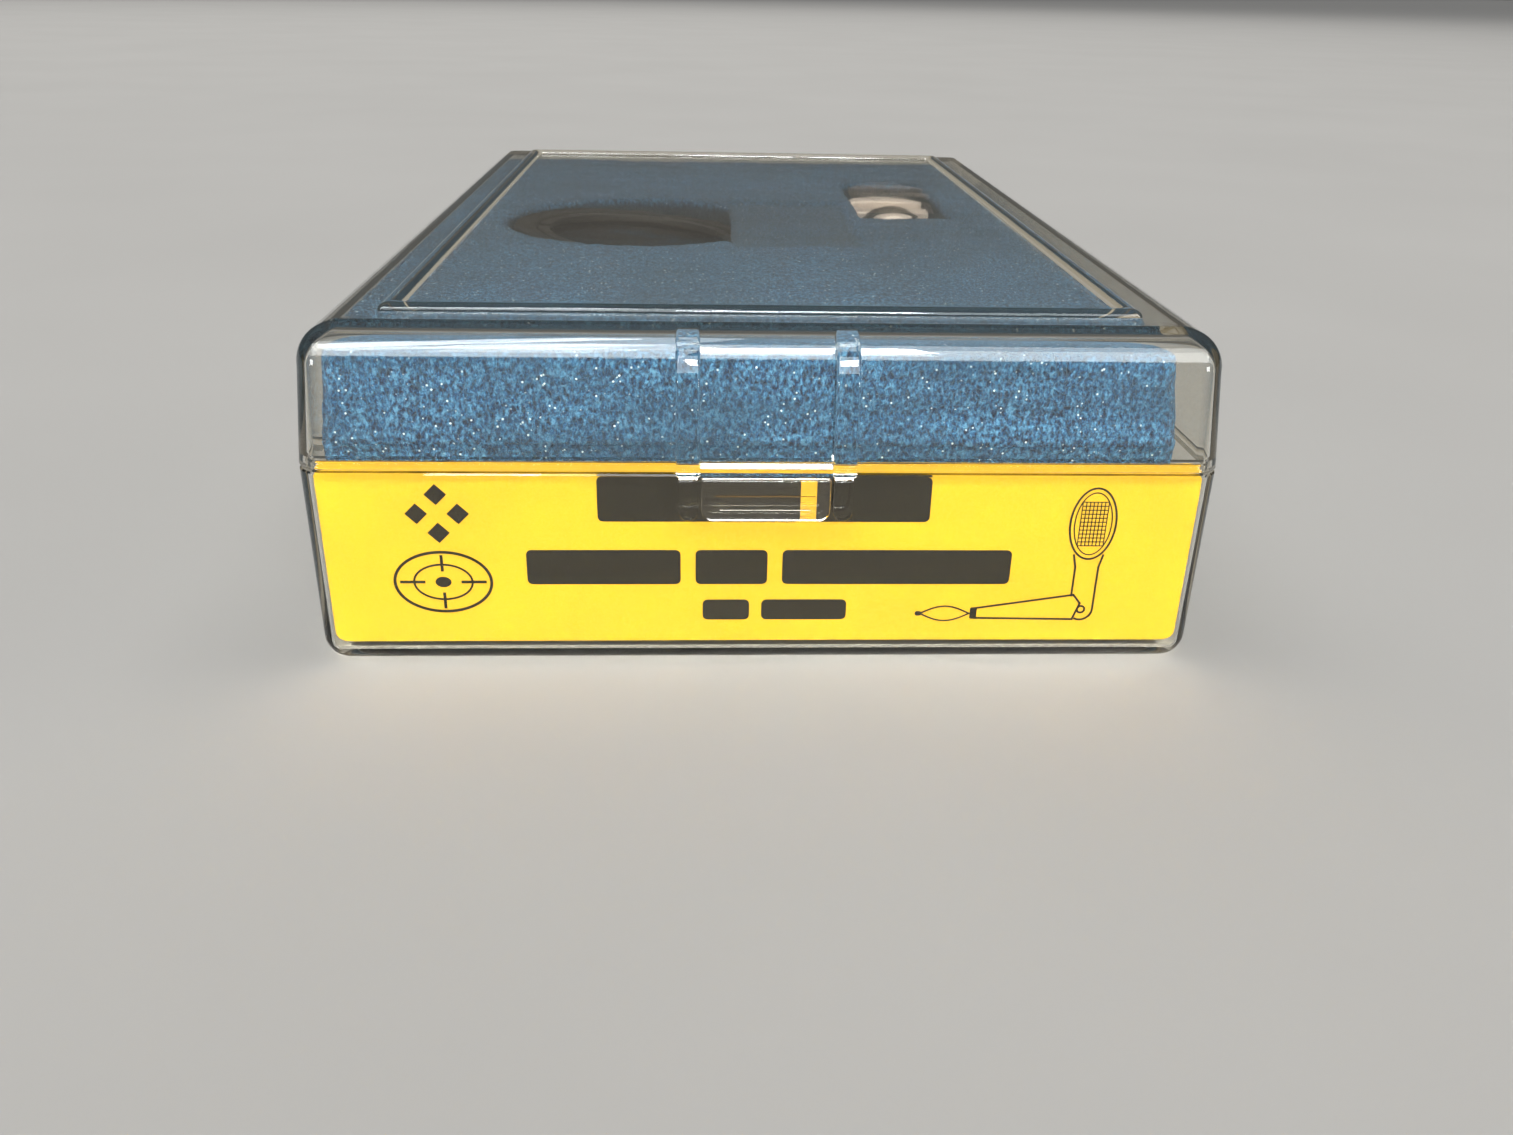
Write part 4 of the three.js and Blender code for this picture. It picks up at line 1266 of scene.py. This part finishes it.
def foam_layer(node, name, seed, flare=0.0, meets_above=False, meets_below=False, creases=()):
    """The layer's CAD solid, remeshed fine, with a torn open-cell surface.

    Its sides flare out by flare from its top to its foot, and it swells until it all but meets a
    neighbour. Where it meets one below, its outer edge laps down over the joint. A crease is (height,
    from x, to x) on its front.
    """
    made = bpy.data.objects.new(name, frame["nodes"][node].data.copy())
    bpy.context.scene.collection.objects.link(made)
    remesh = made.modifiers.new("remesh", "REMESH")
    remesh.mode = "VOXEL"
    remesh.voxel_size = FOAM_VOXEL * MM
    bake_modifiers(made)
    low, high = box_mm(node)
    middle = (low + high) / 2
    rest = [(vertex.co / MM, vertex.normal.copy()) for vertex in made.data.vertices]
    places = []
    for point, normal in rest:
        swell = noise.noise(point / 15 + Vector((seed, 0, 0)))
        tear = noise.noise(point / 1.5 + Vector((0, seed, 0)))
        shift = FOAM_SWELL * swell + FOAM_TEAR * tear - FOAM_SETTLE
        at_top = meets_above and point.z > high.z - FOAM_VOXEL
        at_foot = meets_below and point.z < low.z + FOAM_VOXEL
        if at_top or at_foot:
            shift = FOAM_MEET if abs(normal.z) > 0.5 else 0.5 * FOAM_MEET
        for height, start, end in creases:
            if normal.y < -0.5 and start < point.x < end:
                fade = math.sin(math.pi * (point.x - start) / (end - start))
                drift = 0.5 * noise.noise(Vector((point.x / 9, seed, height)))
                shift -= CREASE_DEPTH * fade * math.exp(-((point.z - height - drift) / CREASE_HALF) ** 2)
        inside = side_distances(point, low, high)
        nearness = max(0.0, 1 - min(inside) / FLARE_REACH)
        grown = flare * nearness ** 2 * (high.z - point.z) / (high.z - low.z)
        outward = Vector((0, 0, 0))
        for axis in (0, 1):
            if inside[axis] <= FLARE_REACH:
                outward[axis] = math.copysign(1, point[axis] - middle[axis])
        drop = 0.0
        if meets_below and point.z < low.z + LAP_REACH and min(inside) < LAP_REACH:
            drop = FOAM_LAP * (1 - (point.z - low.z) / LAP_REACH)
        places.extend((point + normal * shift + outward * grown - Vector((0, 0, drop))) * MM)
    made.data.vertices.foreach_set("co", places)
    made.data.update()
    finished(made, FOAM, "blue_foam", "base", node, angle=None)
    return made


foam_layer("foam_base_layer", "foam_base", 3.0)
foam_layer("foam_middle_layer", "foam_middle", 11.0, meets_above=True)
CREASES = ((29.9, 2, 48), (33.2, 12, 40))
foam_layer("foam_top_layer", "foam_top", 23.0, flare=1.0, meets_below=True, creases=CREASES)


# ---- Stage, light and camera -----------------------------

FLOOR_HALF = 30000
FLOOR_THICK = 20


def make_floor():
    outline = rectangle(-FLOOR_HALF, -FLOOR_HALF, FLOOR_HALF, FLOOR_HALF)
    floor = prism("floor", outline, -FLOOR_THICK, 0, "z")
    s = Shader("floor")
    cloud = s.noise(120, detail=2)
    s.colour(s.mixed(s.ranged(cloud, 0.3, 0.7), (0.52, 0.515, 0.505), (0.54, 0.535, 0.525)))
    s.set(Roughness=0.95, Specular_IOR_Level=0.05)
    floor.data.materials.append(s.material)


def area_light(name, place, target, width, height, power, colour, gloss=False):
    """A rectangular lamp that either lights matt surfaces or, as gloss, shows only as a reflection."""
    data = bpy.data.lights.new(name, "AREA")
    data.shape = "RECTANGLE"
    data.size = width * MM
    data.size_y = height * MM
    data.energy = power
    data.color = colour
    made = bpy.data.objects.new(name, data)
    bpy.context.scene.collection.objects.link(made)
    made.location = Vector(place) * MM
    made.rotation_mode = "QUATERNION"
    made.rotation_quaternion = (Vector(target) - Vector(place)).to_track_quat("-Z", "Y")
    made.visible_diffuse = not gloss
    made.visible_glossy = gloss
    made.visible_transmission = gloss


def make_world():
    """A soft studio dome: bright overhead and in front, dim low down behind the case."""
    world = bpy.data.worlds.new("studio")
    world.use_nodes = True
    tree = world.node_tree
    place = tree.nodes.new("ShaderNodeTexCoord")
    lean = tree.nodes.new("ShaderNodeVectorMath")
    lean.operation = "DOT_PRODUCT"
    lean.inputs[1].default_value = (0, -0.7, 1)
    ramp = tree.nodes.new("ShaderNodeValToRGB")
    set_stops(ramp, (
        (0.05, (0.11, 0.105, 0.095)),
        (0.2, (0.29, 0.285, 0.27)),
        (0.8, (0.42, 0.425, 0.43)),
    ))
    tree.links.new(place.outputs["Generated"], lean.inputs[0])
    tree.links.new(lean.outputs["Value"], ramp.inputs["Fac"])
    tree.links.new(ramp.outputs["Color"], tree.nodes["Background"].inputs["Color"])
    bpy.context.scene.world = world
    bpy.context.scene.view_settings.view_transform = "Standard"


WARM = (1.0, 0.98, 0.94)
COOL = (0.95, 0.98, 1.0)

# Name, place, width, height and power in watts.
MATT_LAMPS = (
    ("overhead", (-300, 1200, 3000), 5000, 5000, 100),
    ("front_fill", (300, -1400, 1100), 900, 500, 4.2),
)
GLOSS_LAMPS = (
    ("window", (-230, -480, 880), 90, 620, 3.4),
    ("window_side", (-110, -480, 880), 150, 620, 2.2),
    ("ceiling", (0, -860, 860), 2600, 800, 42),
    ("sparkle", (60, -520, 560), 160, 160, 6),
    ("edge_light", (-800, -750, 110), 200, 200, 3),
    ("edge_light", (800, -750, 110), 200, 200, 3),
)


def make_lights():
    """The overhead lamp faces the middle of the case, and the others face its top front edge."""
    make_world()
    front = (0, FRONT, BEAD_TOP)
    for name, place, *shape in MATT_LAMPS:
        target = (0, MIDDLE, BEAD_TOP / 2) if name == "overhead" else front
        area_light(name, place, target, *shape, WARM)
    for name, place, *shape in GLOSS_LAMPS:
        area_light(name, place, front, *shape, COOL, gloss=True)


CAMERA_X = -7.1
CAMERA_AHEAD = 125.1
CAMERA_Z = 72.5
CAMERA_LENS = 29.195
CAMERA_SENSOR = 36
CAMERA_PITCH = math.radians(25.57)
CAMERA_ROLL = math.radians(1.26)
CAMERA_YAW = math.radians(2.88)


def make_camera():
    ahead = Vector((
        math.sin(CAMERA_YAW) * math.cos(CAMERA_PITCH),
        math.cos(CAMERA_YAW) * math.cos(CAMERA_PITCH),
        -math.sin(CAMERA_PITCH),
    ))
    right = Vector((math.cos(CAMERA_YAW), -math.sin(CAMERA_YAW), 0))
    up = right.cross(ahead)
    side = math.cos(CAMERA_ROLL) * right + math.sin(CAMERA_ROLL) * up
    top = -math.sin(CAMERA_ROLL) * right + math.cos(CAMERA_ROLL) * up
    data = bpy.data.cameras.new("camera")
    data.lens = CAMERA_LENS
    data.sensor_width = CAMERA_SENSOR
    data.clip_start = 0.01
    data.clip_end = 100
    camera = bpy.data.objects.new("camera", data)
    bpy.context.scene.collection.objects.link(camera)
    turn = Matrix((side, top, -ahead)).transposed()
    place = Vector((CAMERA_X, FRONT - CAMERA_AHEAD, CAMERA_Z)) * MM
    camera.matrix_world = Matrix.Translation(place) @ turn.to_4x4()
    bpy.context.scene.camera = camera


make_floor()
make_lights()
make_camera()
